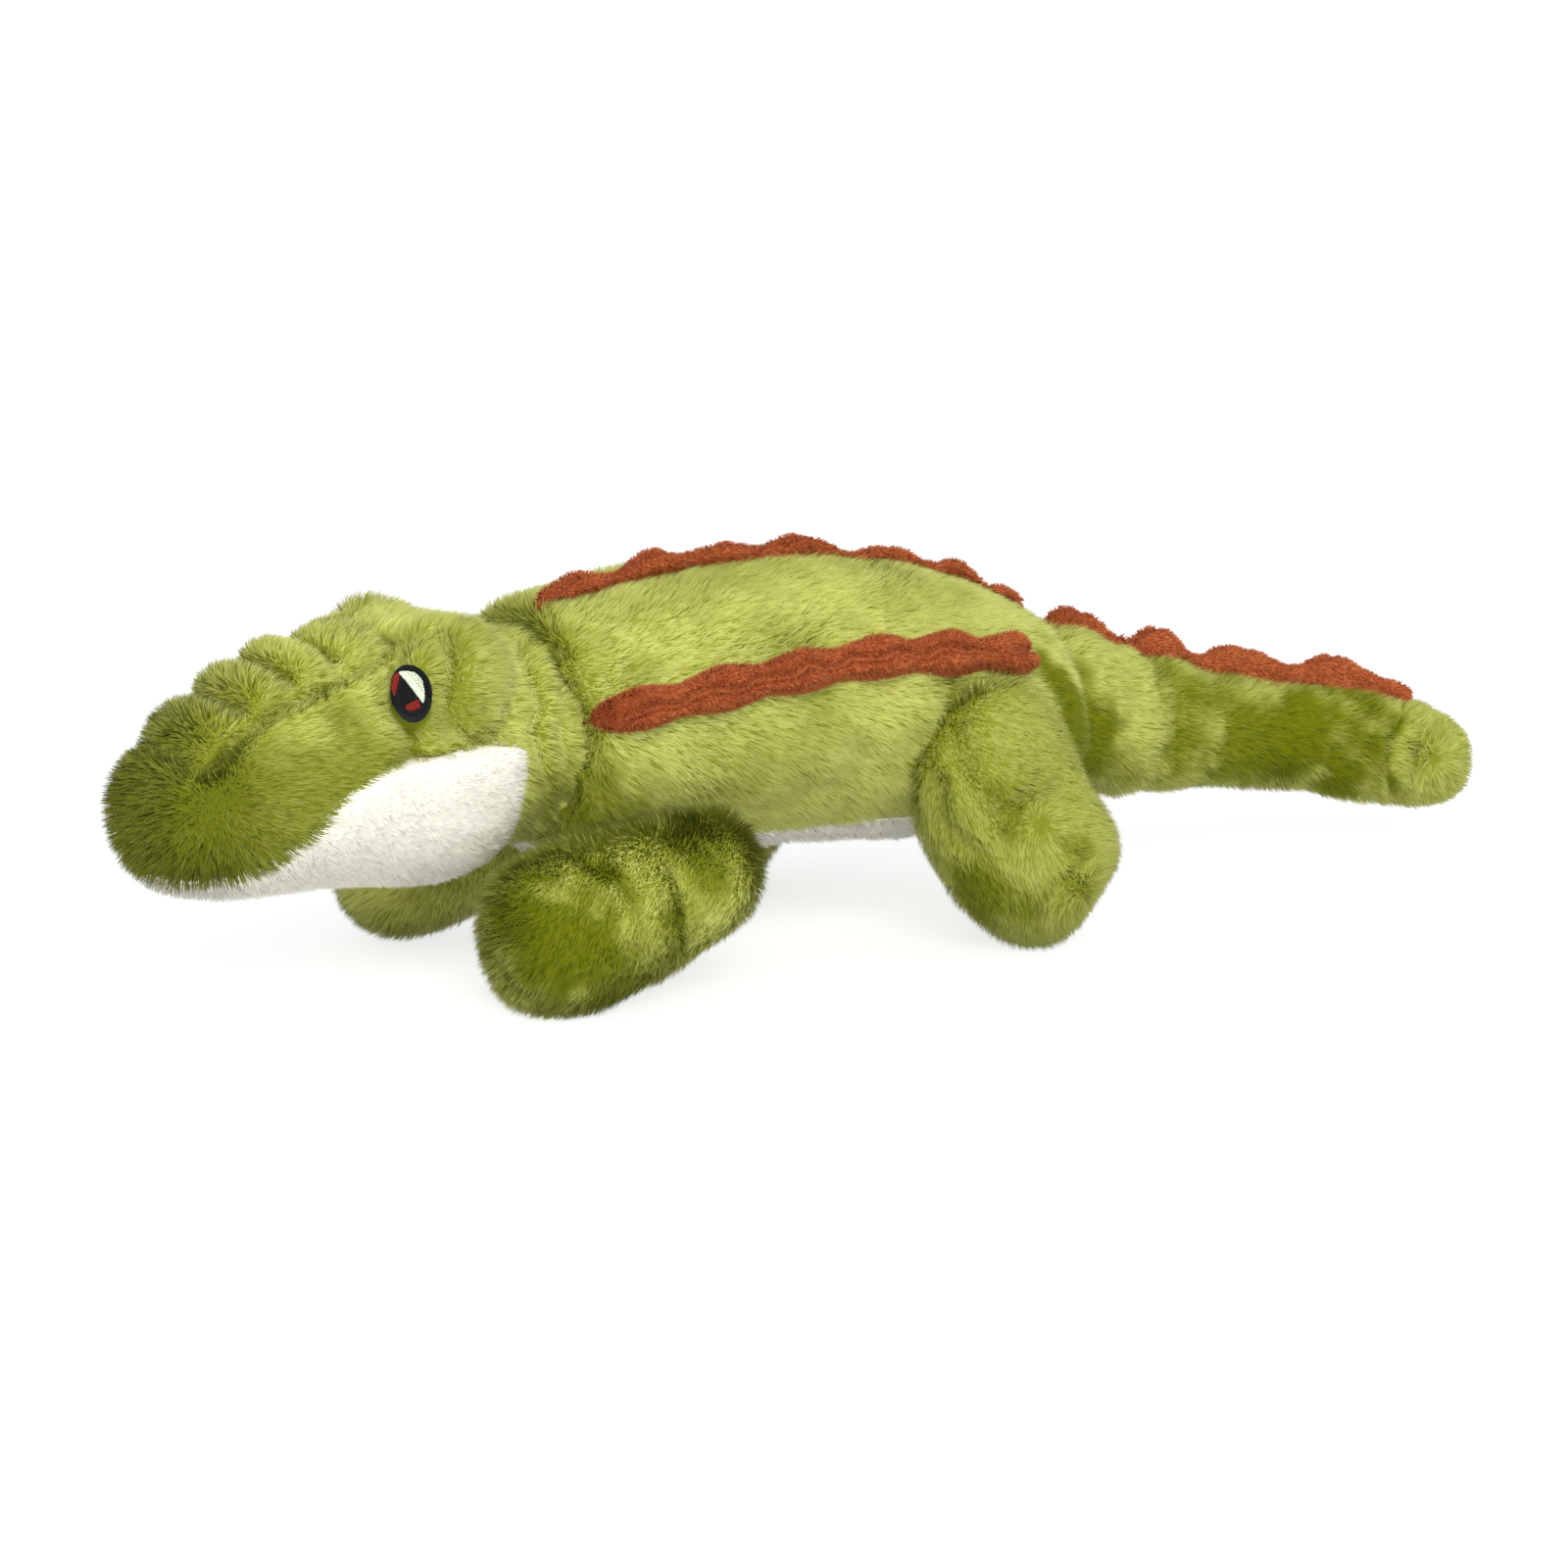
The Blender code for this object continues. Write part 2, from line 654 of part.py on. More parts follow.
tail_rings = [tail_ring(row) for row in TAIL_RING_SHARES]
root_radii = [TAIL_ROOT_RADIUS] * 4
seam_radii = [TAIL_SEAM_RADIUS] * 4
tail_form = stuffed("tail_form", tail_rings, cutters)
tail_ball = ellipsoid("tail_ball", tail_root, root_radii)
boolean(tail_form, tail_ball, "UNION")
tail_surface = surface_finder(tail_form)
tail_base = body_part("tail_base", tail_form, green)
seam_setback = TAIL_SEAM_RADIUS * sin(TAIL_SEAM_CUT_ANGLE)
base_end = tail_seam.x - seam_setback
beyond_seam = box("beyond_tail_seam", (base_end, -reach, -reach), (base_end + reach, reach, reach))
boolean(tail_base, beyond_seam)
seam_socket = ellipsoid("tail_seam_socket", tail_seam, [r + BALL_GAP for r in seam_radii])
boolean(tail_base, seam_socket)
tail_socket = ellipsoid("tail_socket", tail_root, [r + BALL_GAP for r in root_radii])
boolean(torso, tail_socket)
boolean(belly_panel, tail_socket)

tail_tip = body_part("tail_tip", tail_form, green)
before_seam = box("before_tail_seam", (tail_seam.x - reach, -reach, -reach), (tail_seam.x, reach, reach))
boolean(tail_tip, before_seam)
tip_ball = ellipsoid("tail_tip_ball", tail_seam, seam_radii)
boolean(tail_tip, tip_ball, "UNION")


# Legs, each outside a flat facet of the torso and square to its hinge axis

def leg_hinge(share, tilt, sign):
    """Point and outward axis of a leg's hinge: where the torso's surface faces that way."""
    axis_height, half_width, half_height = torso_section(share)
    outward = Vector((0, sign * cos(tilt), -sin(tilt)))
    support = sqrt((half_width * outward.y) ** 2 + (half_height * outward.z) ** 2)
    touch = Vector((
        share * torso_half,
        half_width ** 2 * outward.y / support,
        axis_height + half_height ** 2 * outward.z / support,
    ))
    return touch - outward * FACET_DEPTH, outward


def leg_rings(hinge, sign, direction, length, radius, shares):
    rings = []
    floor_height = radius
    centres = [
        Vector((
            hinge.x + direction * along * length,
            hinge.y + sign * out * length,
            mix(floor_height, hinge.z, height),
        ))
        for along, out, height, _ in shares
    ]
    for i, centre in enumerate(centres):
        ahead = centres[min(i + 1, len(centres) - 1)] - centres[max(i - 1, 0)]
        side = ahead.cross(Z).normalized()
        up = side.cross(ahead).normalized()
        size = shares[i][3] * radius
        rings.append(ring(centre, side, up, size, size, LIMB_RING_POINTS))
    return rings


def make_leg(name, share, tilt, sign, direction, length, radius, shares, swing=0):
    hinge, outward = leg_hinge(share, tilt, sign)
    rings = leg_rings(hinge, sign, direction, length, radius, shares)
    form = stuffed(f"{name}_form", rings, cutters)
    turn = Matrix.Rotation(swing, 4, outward)
    form.data.transform(Matrix.Translation(hinge) @ turn @ Matrix.Translation(-hinge))
    made, _ = evaluated(form)
    lowest = min((made.matrix_world @ v.co).z for v in made.data.vertices)
    for v in form.data.vertices:
        v.co.z -= lowest + FLOOR_FLAT_DEPTH
    leg = body_part(name, form, green)
    frame = outward.to_track_quat("Z", "X").to_matrix().to_4x4()
    at_hinge = Matrix.Translation(hinge) @ frame
    inboard = box(f"{name}_inboard", (-reach, -reach, -reach), (reach, reach, SEAM_GAP / 2))
    inboard.matrix_world = at_hinge
    boolean(leg, inboard)
    boolean(leg, floor_block)
    made, _ = evaluated(leg)
    near = [at_hinge.inverted() @ (made.matrix_world @ v.co) for v in made.data.vertices]
    facet_radius = max(p.xy.length for p in near if p.z < LEG_ROOT_DEPTH) + SEAM_GAP
    bm = bmesh.new()
    bmesh.ops.create_cone(
        bm, cap_ends=True, segments=FACET_SEGMENTS, radius1=facet_radius, radius2=facet_radius,
        depth=2 * FACET_DEPTH,
    )
    bmesh.ops.translate(bm, verts=bm.verts, vec=Z * (FACET_DEPTH - SEAM_GAP / 2))
    facet = new_object(f"{name}_facet", bm, cutters)
    facet.matrix_world = at_hinge
    boolean(torso, facet)
    boolean(belly_panel, facet)
    return leg, hinge, outward


floor_block = box("floor_block", (-reach, -reach, -reach), (reach, reach, 0))
legs = {}
for side, sign in (("left", -1), ("right", 1)):
    legs[f"front_{side}_leg"] = make_leg(
        f"front_{side}_leg", FRONT_HINGE_SHARE, FRONT_SHOULDER_TILT, sign, -1,
        FRONT_LEG_LENGTH * (FRONT_RIGHT_DRAW_SHARE if sign > 0 else 1), FRONT_PAW_RADIUS,
        FRONT_LEG_SHARES, FRONT_RIGHT_SWING * (sign > 0),
    )
    legs[f"rear_{side}_leg"] = make_leg(
        f"rear_{side}_leg", REAR_HINGE_SHARE, REAR_HIP_TILT, sign, 1,
        REAR_LEG_LENGTH, REAR_FOOT_RADIUS, REAR_LEG_SHARES, REAR_RIGHT_SWING * (sign > 0),
    )

boolean(torso, below_seam)
boolean(belly_panel, above_seam)


# Crest strips, sewn along the surface of the piece that carries them

def crest_strip(name, path, lumps, crown, clearance):
    """Scalloped strip: path is a function from 0..1 to a surface point and its normal."""
    full = 6 / (4 + 2 * CREST_PINCH_SHARE)
    stations = [(0, full * CREST_PINCH_SHARE)]
    for i in range(lumps):
        stations += [((i + crown) / lumps, full), ((i + 1) / lumps, full * CREST_PINCH_SHARE)]
    rings = []
    for t, swell in stations:
        point, normal = path(t)
        before, _ = path(max(t - 1 / (4 * lumps), 0))
        after, _ = path(min(t + 1 / (4 * lumps), 1))
        side = (after - before).cross(normal).normalized()
        rings.append([
            point + side * (across * CREST_WIDTH * swell) + normal * (up * CREST_HEIGHT * swell)
            for across, up in CREST_SECTION_SHARES
        ])
    strip = stuffed(name, rings, parts)
    strip.data.materials.append(brown)
    boolean(strip, clearance)
    return strip


def torso_path(shares, angles, sign):
    """Path along the torso: angles round its section are given at the start, midway and the end."""
    start, middle, end = angles

    def path(t):
        share = mix(*shares, t)
        axis_height, _, _ = torso_section(share)
        angle = mix(start, middle, 2 * t) if t < 0.5 else mix(middle, end, 2 * t - 1)
        direction = Vector((0, sign * cos(angle), sin(angle)))
        return torso_surface(Vector((share * torso_half, 0, axis_height)), direction)

    return path


def tail_path(shares):
    def path(t):
        share = mix(*shares, t)
        rows = TAIL_RING_SHARES
        for a, b in zip(rows, rows[1:]):
            if share <= b[0] or b is rows[-1]:
                local = (share - a[0]) / (b[0] - a[0])
                drop, bend = mix(a[1], b[1], local), mix(a[3], b[3], local)
                break
        start = tail_root + Vector((
            share * TAIL_LENGTH, -bend * TAIL_SIDE_BEND, drop * (TAIL_END_HEIGHT - TAIL_ROOT_HEIGHT)
        ))
        return tail_surface(start, Z)

    return path


spine_path = torso_path(SPINE_CREST_SHARES, SPINE_CREST_ANGLES, 1)
spine_crest = crest_strip("spine_crest", spine_path, SPINE_LUMP_COUNT, TOP_CROWN_SHARE, torso_clearance)
flank_crests = []
for side, sign in (("left", -1), ("right", 1)):
    flank_path = torso_path(FLANK_CREST_SHARES, FLANK_CREST_ANGLES, sign)
    flank_crests.append(crest_strip(
        f"{side}_flank_crest", flank_path, FLANK_LUMP_COUNT, FLANK_CROWN_SHARE, torso_clearance,
    ))
tail_clearance = swollen(tail_form, SEAM_GAP, "tail_clearance")
seam_ball_clearance = swollen(tip_ball, SEAM_GAP, "tail_tip_ball_clearance")
tail_base_crest = crest_strip(
    "tail_base_crest", tail_path(TAIL_BASE_CREST_SHARES), TAIL_BASE_LUMP_COUNT, TOP_CROWN_SHARE, tail_clearance,
)
tail_tip_crest = crest_strip(
    "tail_tip_crest", tail_path(TAIL_TIP_CREST_SHARES), TAIL_TIP_LUMP_COUNT, TOP_CROWN_SHARE, tail_clearance,
)
boolean(tail_tip_crest, seam_ball_clearance)


# Joint empties, parenting and the final place over the origin

def empty(name, point, parent=None):
    made = bpy.data.objects.new(name, None)
    made.empty_display_size = EYE_HEIGHT
    parts.objects.link(made)
    made.matrix_world = Matrix.Translation(point)
    return carry([made], parent)[0] if parent else made


def carry(objects, parent):
    bpy.context.view_layer.update()
    for obj in objects:
        obj.parent = parent
        obj.matrix_parent_inverse = parent.matrix_world.inverted()
    return objects


root = empty("alligator", Vector((0, 0, 0)))
neck_turn = empty("neck_turn", neck_centre, root)
head_nod = empty("head_nod", neck_centre, neck_turn)
tail_swing = empty("tail_swing", tail_root, root)
tail_bend = empty("tail_bend", tail_seam, tail_swing)
carry([torso, belly_panel, squeaker_bulb, squeaker_reed, spine_crest, *flank_crests], root)
carry([neck], neck_turn)
head_tools = [
    o for o in cutters.objects
    if o.name.startswith(("head", "mouth", "snout", "left_", "right_", "eye_skin"))
]
carry([head, snout_band, lower_jaw, *eyes, *head_tools], head_nod)
carry([tail_base, tail_base_crest], tail_swing)
carry([tail_tip, tail_tip_crest], tail_bend)
for name, (leg, hinge, outward) in legs.items():
    carry([leg], empty(f"{name}_hinge", hinge, root))
carry([o for o in cutters.objects if o.parent is None], root)
neck_turn.rotation_euler.z = HEAD_TURN


def world_corners(objects):
    bpy.context.view_layer.update()
    graph = bpy.context.evaluated_depsgraph_get()
    for obj in objects:
        made = obj.evaluated_get(graph)
        yield from (made.matrix_world @ v.co for v in made.data.vertices)


solids = [o for o in parts.objects if o.type == "MESH"]
corners = list(world_corners(solids))
low = Vector(min(c[i] for c in corners) for i in range(3))
high = Vector(max(c[i] for c in corners) for i in range(3))
root.location = Vector((-(low.x + high.x) / 2, -(low.y + high.y) / 2, -low.z))
bpy.context.view_layer.update()
print("size", [round(b - a, 5) for a, b in zip(low, high)])
for o in parts.objects:
    if o.type == "EMPTY":
        print("joint", o.name, [round(v, 5) for v in o.matrix_world.translation])
for name, (leg, hinge, outward) in legs.items():
    print("axis", name, [round(v, 5) for v in outward])
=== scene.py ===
"""A green long-pile plush alligator toy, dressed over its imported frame.

Stuffed skins with their pile, brown crest strips and embroidered eyes stand for the frame's solids.
"""

from math import cos, pi, radians, sin

import bpy
import numpy as np
from mathutils import Matrix, Vector
from mathutils.bvhtree import BVHTree


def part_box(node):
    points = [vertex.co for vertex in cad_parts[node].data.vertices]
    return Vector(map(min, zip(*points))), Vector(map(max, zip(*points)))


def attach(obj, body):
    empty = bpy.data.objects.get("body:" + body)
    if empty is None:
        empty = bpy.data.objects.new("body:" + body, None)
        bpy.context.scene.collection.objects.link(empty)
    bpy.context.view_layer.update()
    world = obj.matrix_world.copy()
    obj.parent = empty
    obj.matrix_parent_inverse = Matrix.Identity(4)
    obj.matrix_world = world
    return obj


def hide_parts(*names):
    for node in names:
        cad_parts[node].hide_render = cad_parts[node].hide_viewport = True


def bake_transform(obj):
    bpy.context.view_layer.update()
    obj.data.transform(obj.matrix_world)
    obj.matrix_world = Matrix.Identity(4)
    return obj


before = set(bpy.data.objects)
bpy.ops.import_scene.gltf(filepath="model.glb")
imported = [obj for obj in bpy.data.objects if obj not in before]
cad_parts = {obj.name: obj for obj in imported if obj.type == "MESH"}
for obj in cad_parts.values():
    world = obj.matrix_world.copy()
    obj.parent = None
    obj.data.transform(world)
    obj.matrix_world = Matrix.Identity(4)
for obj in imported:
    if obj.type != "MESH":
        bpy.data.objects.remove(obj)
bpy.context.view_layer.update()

bpy.ops.object.select_all(action="DESELECT")

# Viewpoint: the photograph's, from the toy's front left and a little above, with a long lens at
# 1.3 m. It comes first because folds and seams are placed by the pixels that show them.
AZIMUTH, ELEVATION, DISTANCE = radians(-32.4), radians(11.1), 1.300
FRAME_PIXELS, FOCAL_PIXELS, SHIFT_PIXELS = 1600, 4868.5, (53, -51)
LOOKED_AT = Vector((-0.035, 0, 0.056))
SENSOR_WIDTH = 36
RIDGE_ROW = 620
back_way = Vector((sin(AZIMUTH) * cos(ELEVATION), -cos(AZIMUTH) * cos(ELEVATION), sin(ELEVATION)))
right_way = Vector((cos(AZIMUTH), sin(AZIMUTH), 0))
up_way = back_way.cross(right_way)
bpy.ops.object.camera_add()
camera = bpy.context.active_object
turned = Matrix((right_way, up_way, back_way)).transposed().to_4x4()
camera.matrix_world = Matrix.Translation(LOOKED_AT + back_way * DISTANCE) @ turned
camera.data.sensor_width = SENSOR_WIDTH
camera.data.lens = FOCAL_PIXELS / FRAME_PIXELS * SENSOR_WIDTH
camera.data.shift_x = SHIFT_PIXELS[0] / FRAME_PIXELS
camera.data.shift_y = SHIFT_PIXELS[1] / FRAME_PIXELS
camera.data.clip_start = 0.05
bpy.context.scene.camera = camera
bpy.context.scene.view_settings.view_transform = "Standard"


def sight(x, y):
    """Where the camera is, and the way to a pixel of the photograph."""
    across = (x - FRAME_PIXELS / 2 + SHIFT_PIXELS[0]) / FOCAL_PIXELS
    upward = -(y - FRAME_PIXELS / 2 - SHIFT_PIXELS[1]) / FOCAL_PIXELS
    return camera.matrix_world.translation, (right_way * across + up_way * upward - back_way).normalized()


def column(pixel):
    """Where along the toy a pixel's column crosses its middle plane."""
    place, ray = sight(pixel, RIDGE_ROW)
    return place.x - ray.x * place.y / ray.y


# Torso: the back and flanks, one barrel of green pile plush, sewn inside out, turned and stuffed
# firmly with polyester fibre. Its skin lies a pile's depth inside the frame's torso, and the pile
# stands on it. The tools for cutting, stuffing, seaming and growing pile are made here.
GREEN_DEPTH = 0.0032
GREEN_LENGTH = 0.0049
ACROSS, MIDDLE = (0, 1, 0), (0, 0.00029, 0)
FIBRES_PER_MM2 = 4.0


def dyed(red, green, blue):
    """A yarn's colour, from the numbers of a picture to those of a shader."""
    return (*(((c / 255 + 0.055) / 1.055) ** 2.4 for c in (red, green, blue)), 1.0)


def new_material(name):
    made = bpy.data.materials.new(name)
    made.use_nodes = True
    return made, made.node_tree.nodes, made.node_tree.links


def set_to(node, values):
    for name, value in values.items():
        node.inputs[name].default_value = value
    return node


def noise(nodes, links, scale, detail=2, roughness=0.5):
    """Noise over a piece's own coordinates."""
    place = nodes.new("ShaderNodeTexCoord")
    made = set_to(nodes.new("ShaderNodeTexNoise"), {"Scale": scale, "Detail": detail, "Roughness": roughness})
    links.new(place.outputs["Object"], made.inputs["Vector"])
    return made.outputs["Fac"]


def coloured_by(nodes, links, value, stops):
    """Colours over a value: each stop is a value and its colour."""
    made = nodes.new("ShaderNodeValToRGB")
    colours = made.color_ramp.elements
    for element, (at, colour) in zip(colours, (stops[0], stops[-1])):
        element.position, element.color = at, colour
    for at, colour in stops[1:-1]:
        colours.new(at).color = colour
    links.new(value, made.inputs[0])
    return made.outputs[0]


def pile_cloth(
    name, ground, body, tips, parted_shade, patch_size=0.030, patchy=0.5, sheen=0.05, tones=(0.80, 1.20)
):
    """Pile yarn: dark at the ground cloth and light at the cut tips, the dark ground being painted shade deep
    in the pile. A darker colour is mixed in as painted shade, in random patches and where the pile is pushed
    up, so that one would look into its depth. The fibre attribute says how far up a place is, its lock's tone
    and how much painted shade it takes."""
    cloth, nodes, links = new_material(name)
    shader = set_to(nodes["Principled BSDF"], {
        "Roughness": 0.7, "Specular IOR Level": 0.06,
        "Sheen Weight": sheen, "Sheen Roughness": 0.45, "Sheen Tint": tips,
    })
    fibre = nodes.new("ShaderNodeAttribute")
    fibre.attribute_name = "fibre"
    parts = nodes.new("ShaderNodeSeparateColor")
    links.new(fibre.outputs["Color"], parts.inputs[0])
    up, lock_tone, parting = parts.outputs
    # Painted shade in random patches, as where the nap would show the pile's dark depth.
    patch_shade = set_to(nodes.new("ShaderNodeMapRange"), {"From Min": 0.44, "From Max": 0.68, "To Max": patchy})
    links.new(noise(nodes, links, 1 / patch_size, 4, 0.6), patch_shade.inputs["Value"])
    shade = nodes.new("ShaderNodeMath")
    shade.operation = "MAXIMUM"
    links.new(patch_shade.outputs[0], shade.inputs[0])
    links.new(parting, shade.inputs[1])
    # The darker colour mixed in here is painted shade.
    dark = nodes.new("ShaderNodeMix")
    dark.data_type, dark.blend_type = "RGBA", "MULTIPLY"
    factor, first, second = dark.inputs[0], dark.inputs[6], dark.inputs[7]
    second.default_value = parted_shade
    links.new(shade.outputs[0], factor)
    links.new(coloured_by(nodes, links, up, ((0, ground), (0.42, body), (1, tips))), first)
    tone = nodes.new("ShaderNodeHueSaturation")
    value = set_to(nodes.new("ShaderNodeMapRange"), {"To Min": tones[0], "To Max": tones[1]})
    links.new(lock_tone, value.inputs["Value"])
    links.new(value.outputs[0], tone.inputs["Value"])
    links.new(dark.outputs[2], tone.inputs["Color"])
    links.new(tone.outputs[0], shader.inputs["Base Color"])
    return cloth


# Its ground colour and its last, darker colour are painted shade deep in the pile.
green_pile = pile_cloth(
    "green_pile", dyed(140, 146, 34), dyed(184, 188, 84), dyed(208, 212, 130), (0.28, 0.31, 0.018, 1),
    patchy=0.45, tones=(0.90, 1.10),
)


def points_of(piece):
    found = np.empty(len(piece.data.vertices) * 3)
    piece.data.vertices.foreach_get("co", found)
    return found.reshape(-1, 3)


def place_points(piece, points):
    piece.data.vertices.foreach_set("co", np.ascontiguousarray(points, float).ravel())
    piece.data.update()


def normals_of(piece):
    found = np.empty(len(piece.data.vertices) * 3, np.float32)
    piece.data.vertex_normals.foreach_get("vector", found)
    return found.reshape(-1, 3).astype(float)


def unit(vectors):
    return vectors / np.maximum(np.linalg.norm(vectors, axis=-1, keepdims=True), 1e-12)


def smooth_step(x):
    x = np.clip(x, 0, 1)
    return x * x * (3 - 2 * x)


def ripple(points, size, seed):
    """A smooth random field over space, from about -1 to 1, whose lumps are about this size."""
    rng = np.random.default_rng(seed)
    waves = unit(rng.normal(size=(9, 3))) * rng.uniform(0.6, 1.6, (9, 1)) * pi / size
    return np.sin(points @ waves.T + rng.uniform(0, 2 * pi, 9)).sum(1) / 3.2


def nearest_on(line, points):
    """The nearest point of an open line of points, and how far off it is."""
    line = np.asarray(line, float)
    best, gap = np.zeros_like(points), np.full(len(points), np.inf)
    for a, b in zip(line[:-1], line[1:]):
        d = b - a
        t = (((points - a) @ d) / max(d @ d, 1e-12)).clip(0, 1)
        at = a + t[:, None] * d
        off = np.linalg.norm(points - at, axis=1)
        near = off < gap
        best[near], gap[near] = at[near], off[near]
    return best, gap


def nearest_seam(seams, points):
    best, gap = np.zeros_like(points), np.full(len(points), np.inf)
    for seam in seams:
        at, off = nearest_on(seam, points)
        near = off < gap
        best[near], gap[near] = at[near], off[near]
    return best, gap


def middle_line(start, end, *nodes, steps=7, reach=(0.12, 0.88)):
    """The line through the middles of a stuffed form's cross sections, from its frame solids."""
    start, end = np.array(start), np.array(end)
    along = unit(end - start)
    points = np.concatenate([points_of(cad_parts[n]) for n in nodes])
    at = (points - start) @ along
    low, high = at.min(), at.max()
    found = []
    for share in np.linspace(*reach, steps):
        here = low + share * (high - low)
        ring = points[np.abs(at - here) < (high - low) / steps * 0.8]
        if len(ring) > 5:
            flat = (ring.min(0) + ring.max(0)) / 2
            found.append(flat + along * (here - (flat - start) @ along))
    return np.array(found)


def tree_of(piece):
    mesh = piece.data
    return BVHTree.FromPolygons([v.co for v in mesh.vertices], [p.vertices for p in mesh.polygons])


def seen_on(piece, *pixels):
    """Where the camera sees these pixels of the photograph on a piece."""
    tree, found = tree_of(piece), []
    for pixel in pixels:
        hit = tree.ray_cast(*sight(*pixel))[0]
        if hit is not None:
            found.append(hit)
    return np.array(found)


def other_side(piece, lines, middle=MIDDLE, across=ACROSS):
    """The same lines on the far side of the toy, laid on the piece there."""
    tree, middle, across = tree_of(piece), np.array(middle), np.array(across)
    return [
        np.array([tree.find_nearest(Vector(p - 2 * ((p - middle) @ across) * across))[0] for p in line])
        for line in lines
    ]


def only(piece):
    bpy.ops.object.select_all(action="DESELECT")
    bpy.context.view_layer.objects.active = piece
    piece.select_set(True)


def applied(piece, kind, name, **settings):
    """Adds a modifier and applies it at once."""
    only(piece)
    made = piece.modifiers.new(name, kind)
    for setting, value in settings.items():
        setattr(made, setting, value)
    bpy.ops.object.modifier_apply(modifier=made.name)


def copy_of(node, name):
    """A bare copy of a CAD node's mesh."""
    made = bpy.data.objects.new(name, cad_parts[node].data.copy())
    bpy.context.scene.collection.objects.link(made)
    made.data.materials.clear()
    return made


def merged(piece):
    """Joins the loose triangles of a CAD node's copy."""
    only(piece)
    bpy.ops.object.mode_set(mode="EDIT")
    bpy.ops.mesh.select_all(action="SELECT")
    bpy.ops.mesh.remove_doubles(threshold=0.00002)
    bpy.ops.object.mode_set(mode="OBJECT")
    return piece


CORE = 0.012


def sewn_shell(name, node, line, depth):
    """The panel's own cut shape, drawn in from its face towards the middle line by its pile's depth.

    Within the core round that line it is drawn in less, so that it can't turn inside out.
    """
    shell = copy_of(node, name)
    points = points_of(shell)
    foot, gap = nearest_on(line, points)
    deep = depth(points) if callable(depth) else depth
    place_points(shell, points - unit(points - foot) * (deep * smooth_step(gap / CORE))[:, None])
    return merged(shell)


FILL_STEPS, FILL_PRESSURE = 20, 4


def stuffed(shell, weave=0.0035, swell=0.0015, uneven=0.0007, settle=3):
    """Fills the shell: cloth of an even weave, pressed outwards by the swell at most, and left
    a little lumpy."""
    applied(shell, "REMESH", "weave", mode="VOXEL", voxel_size=weave)
    before = points_of(shell)
    held = shell.vertex_groups.new(name="held")
    held.add([0], 1.0, "REPLACE")
    fill = shell.modifiers.new("fill", "CLOTH")
    fill.settings.use_pressure, fill.settings.uniform_pressure_force = True, FILL_PRESSURE
    fill.settings.effector_weights.gravity = 0
    fill.settings.quality = 4
    fill.settings.vertex_group_mass = held.name
    fill.point_cache.frame_start, fill.point_cache.frame_end = 1, FILL_STEPS
    for step in range(1, FILL_STEPS + 1):
        bpy.context.scene.frame_set(step)
    only(shell)
    bpy.ops.object.modifier_apply(modifier=fill.name)
    bpy.context.scene.frame_set(1)
    moved = points_of(shell) - before
    far = np.linalg.norm(moved, axis=1, keepdims=True)
    place_points(shell, before + moved * np.minimum(1, swell / np.maximum(far, 1e-9)))
    shell.vertex_groups.clear()
    applied(shell, "SMOOTH", "settle", factor=0.5, iterations=settle)
    applied(shell, "SUBSURF", "finer", levels=1, render_levels=1)
    points, out = points_of(shell), normals_of(shell)
    lumps = 0.7 * ripple(points, 0.030, 3) + 0.3 * ripple(points, 0.011, 4)
    place_points(shell, points + out * (lumps * uneven)[:, None])
    only(shell)
    bpy.ops.object.shade_smooth()
    return shell


def pressed(shell, seams, depth, width):
    """Pulls the cloth in along sewn lines and folds, into soft valleys."""
    points, out = points_of(shell), normals_of(shell)
    gap = nearest_seam(seams, points)[1]
    place_points(shell, points - out * (depth * np.exp(-((gap / width) ** 2)))[:, None])


# A place lies in a solid where a ray from it this way meets its surface an odd number of times.
WAY_OUT = Vector((0.11, 0.27, 0.96)).normalized()
MOST_WALLS = 20


def covered_faces(piece, solids, ahead):
    """Which faces look into another solid of the frame just ahead, as at a seam or in a socket."""
    faces = np.empty(len(piece.data.polygons) * 3, np.float32)
    piece.data.polygons.foreach_get("center", faces)
    centre = faces.reshape(-1, 3).astype(float)
    piece.data.polygons.foreach_get("normal", faces)
    out = faces.reshape(-1, 3).astype(float)
    hidden = np.zeros(len(centre), bool)
    for solid in solids:
        tree = tree_of(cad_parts[solid])
        corners = points_of(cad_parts[solid])
        near = ((centre > corners.min(0) - ahead) & (centre < corners.max(0) + ahead)).all(1)
        for i in np.flatnonzero(near & ~hidden):
            spot, walls = Vector(centre[i] + out[i] * ahead), 0
            while walls < MOST_WALLS:
                spot = tree.ray_cast(spot, WAY_OUT)[0]
                if spot is None:
                    break
                spot, walls = spot + WAY_OUT * 1e-6, walls + 1
            hidden[i] = walls % 2
    return hidden


def attribute(mesh, name, kind, field, values):
    layer = mesh.attributes.new(name, kind, "POINT")
    layer.data.foreach_set(field, values.astype(np.float32).ravel())


def roots_on(shell, covers, ahead, density, rng):
    """Even, random places on a skin and the way out at each, with none where a solid covers it."""
    mesh = shell.data
    mesh.calc_loop_triangles()
    corners = np.empty(len(mesh.loop_triangles) * 3, np.int32)
    mesh.loop_triangles.foreach_get("vertices", corners)
    corners = corners.reshape(-1, 3)
    face = np.empty(len(corners), np.int32)
    mesh.loop_triangles.foreach_get("polygon_index", face)
    points, out = points_of(shell), normals_of(shell)
    a, b, c = points[corners].transpose(1, 0, 2)
    area = np.linalg.norm(np.cross(b - a, c - a), axis=1) / 2
    area[covered_faces(shell, covers, ahead)[face]] = 0
    count = int(area.sum() * 1e6 * FIBRES_PER_MM2 * density)
    chosen = corners[rng.choice(len(corners), count, p=area / area.sum())]
    share = rng.dirichlet((1, 1, 1), count)
    return (points[chosen] * share[:, :, None]).sum(1), unit((out[chosen] * share[:, :, None]).sum(1))


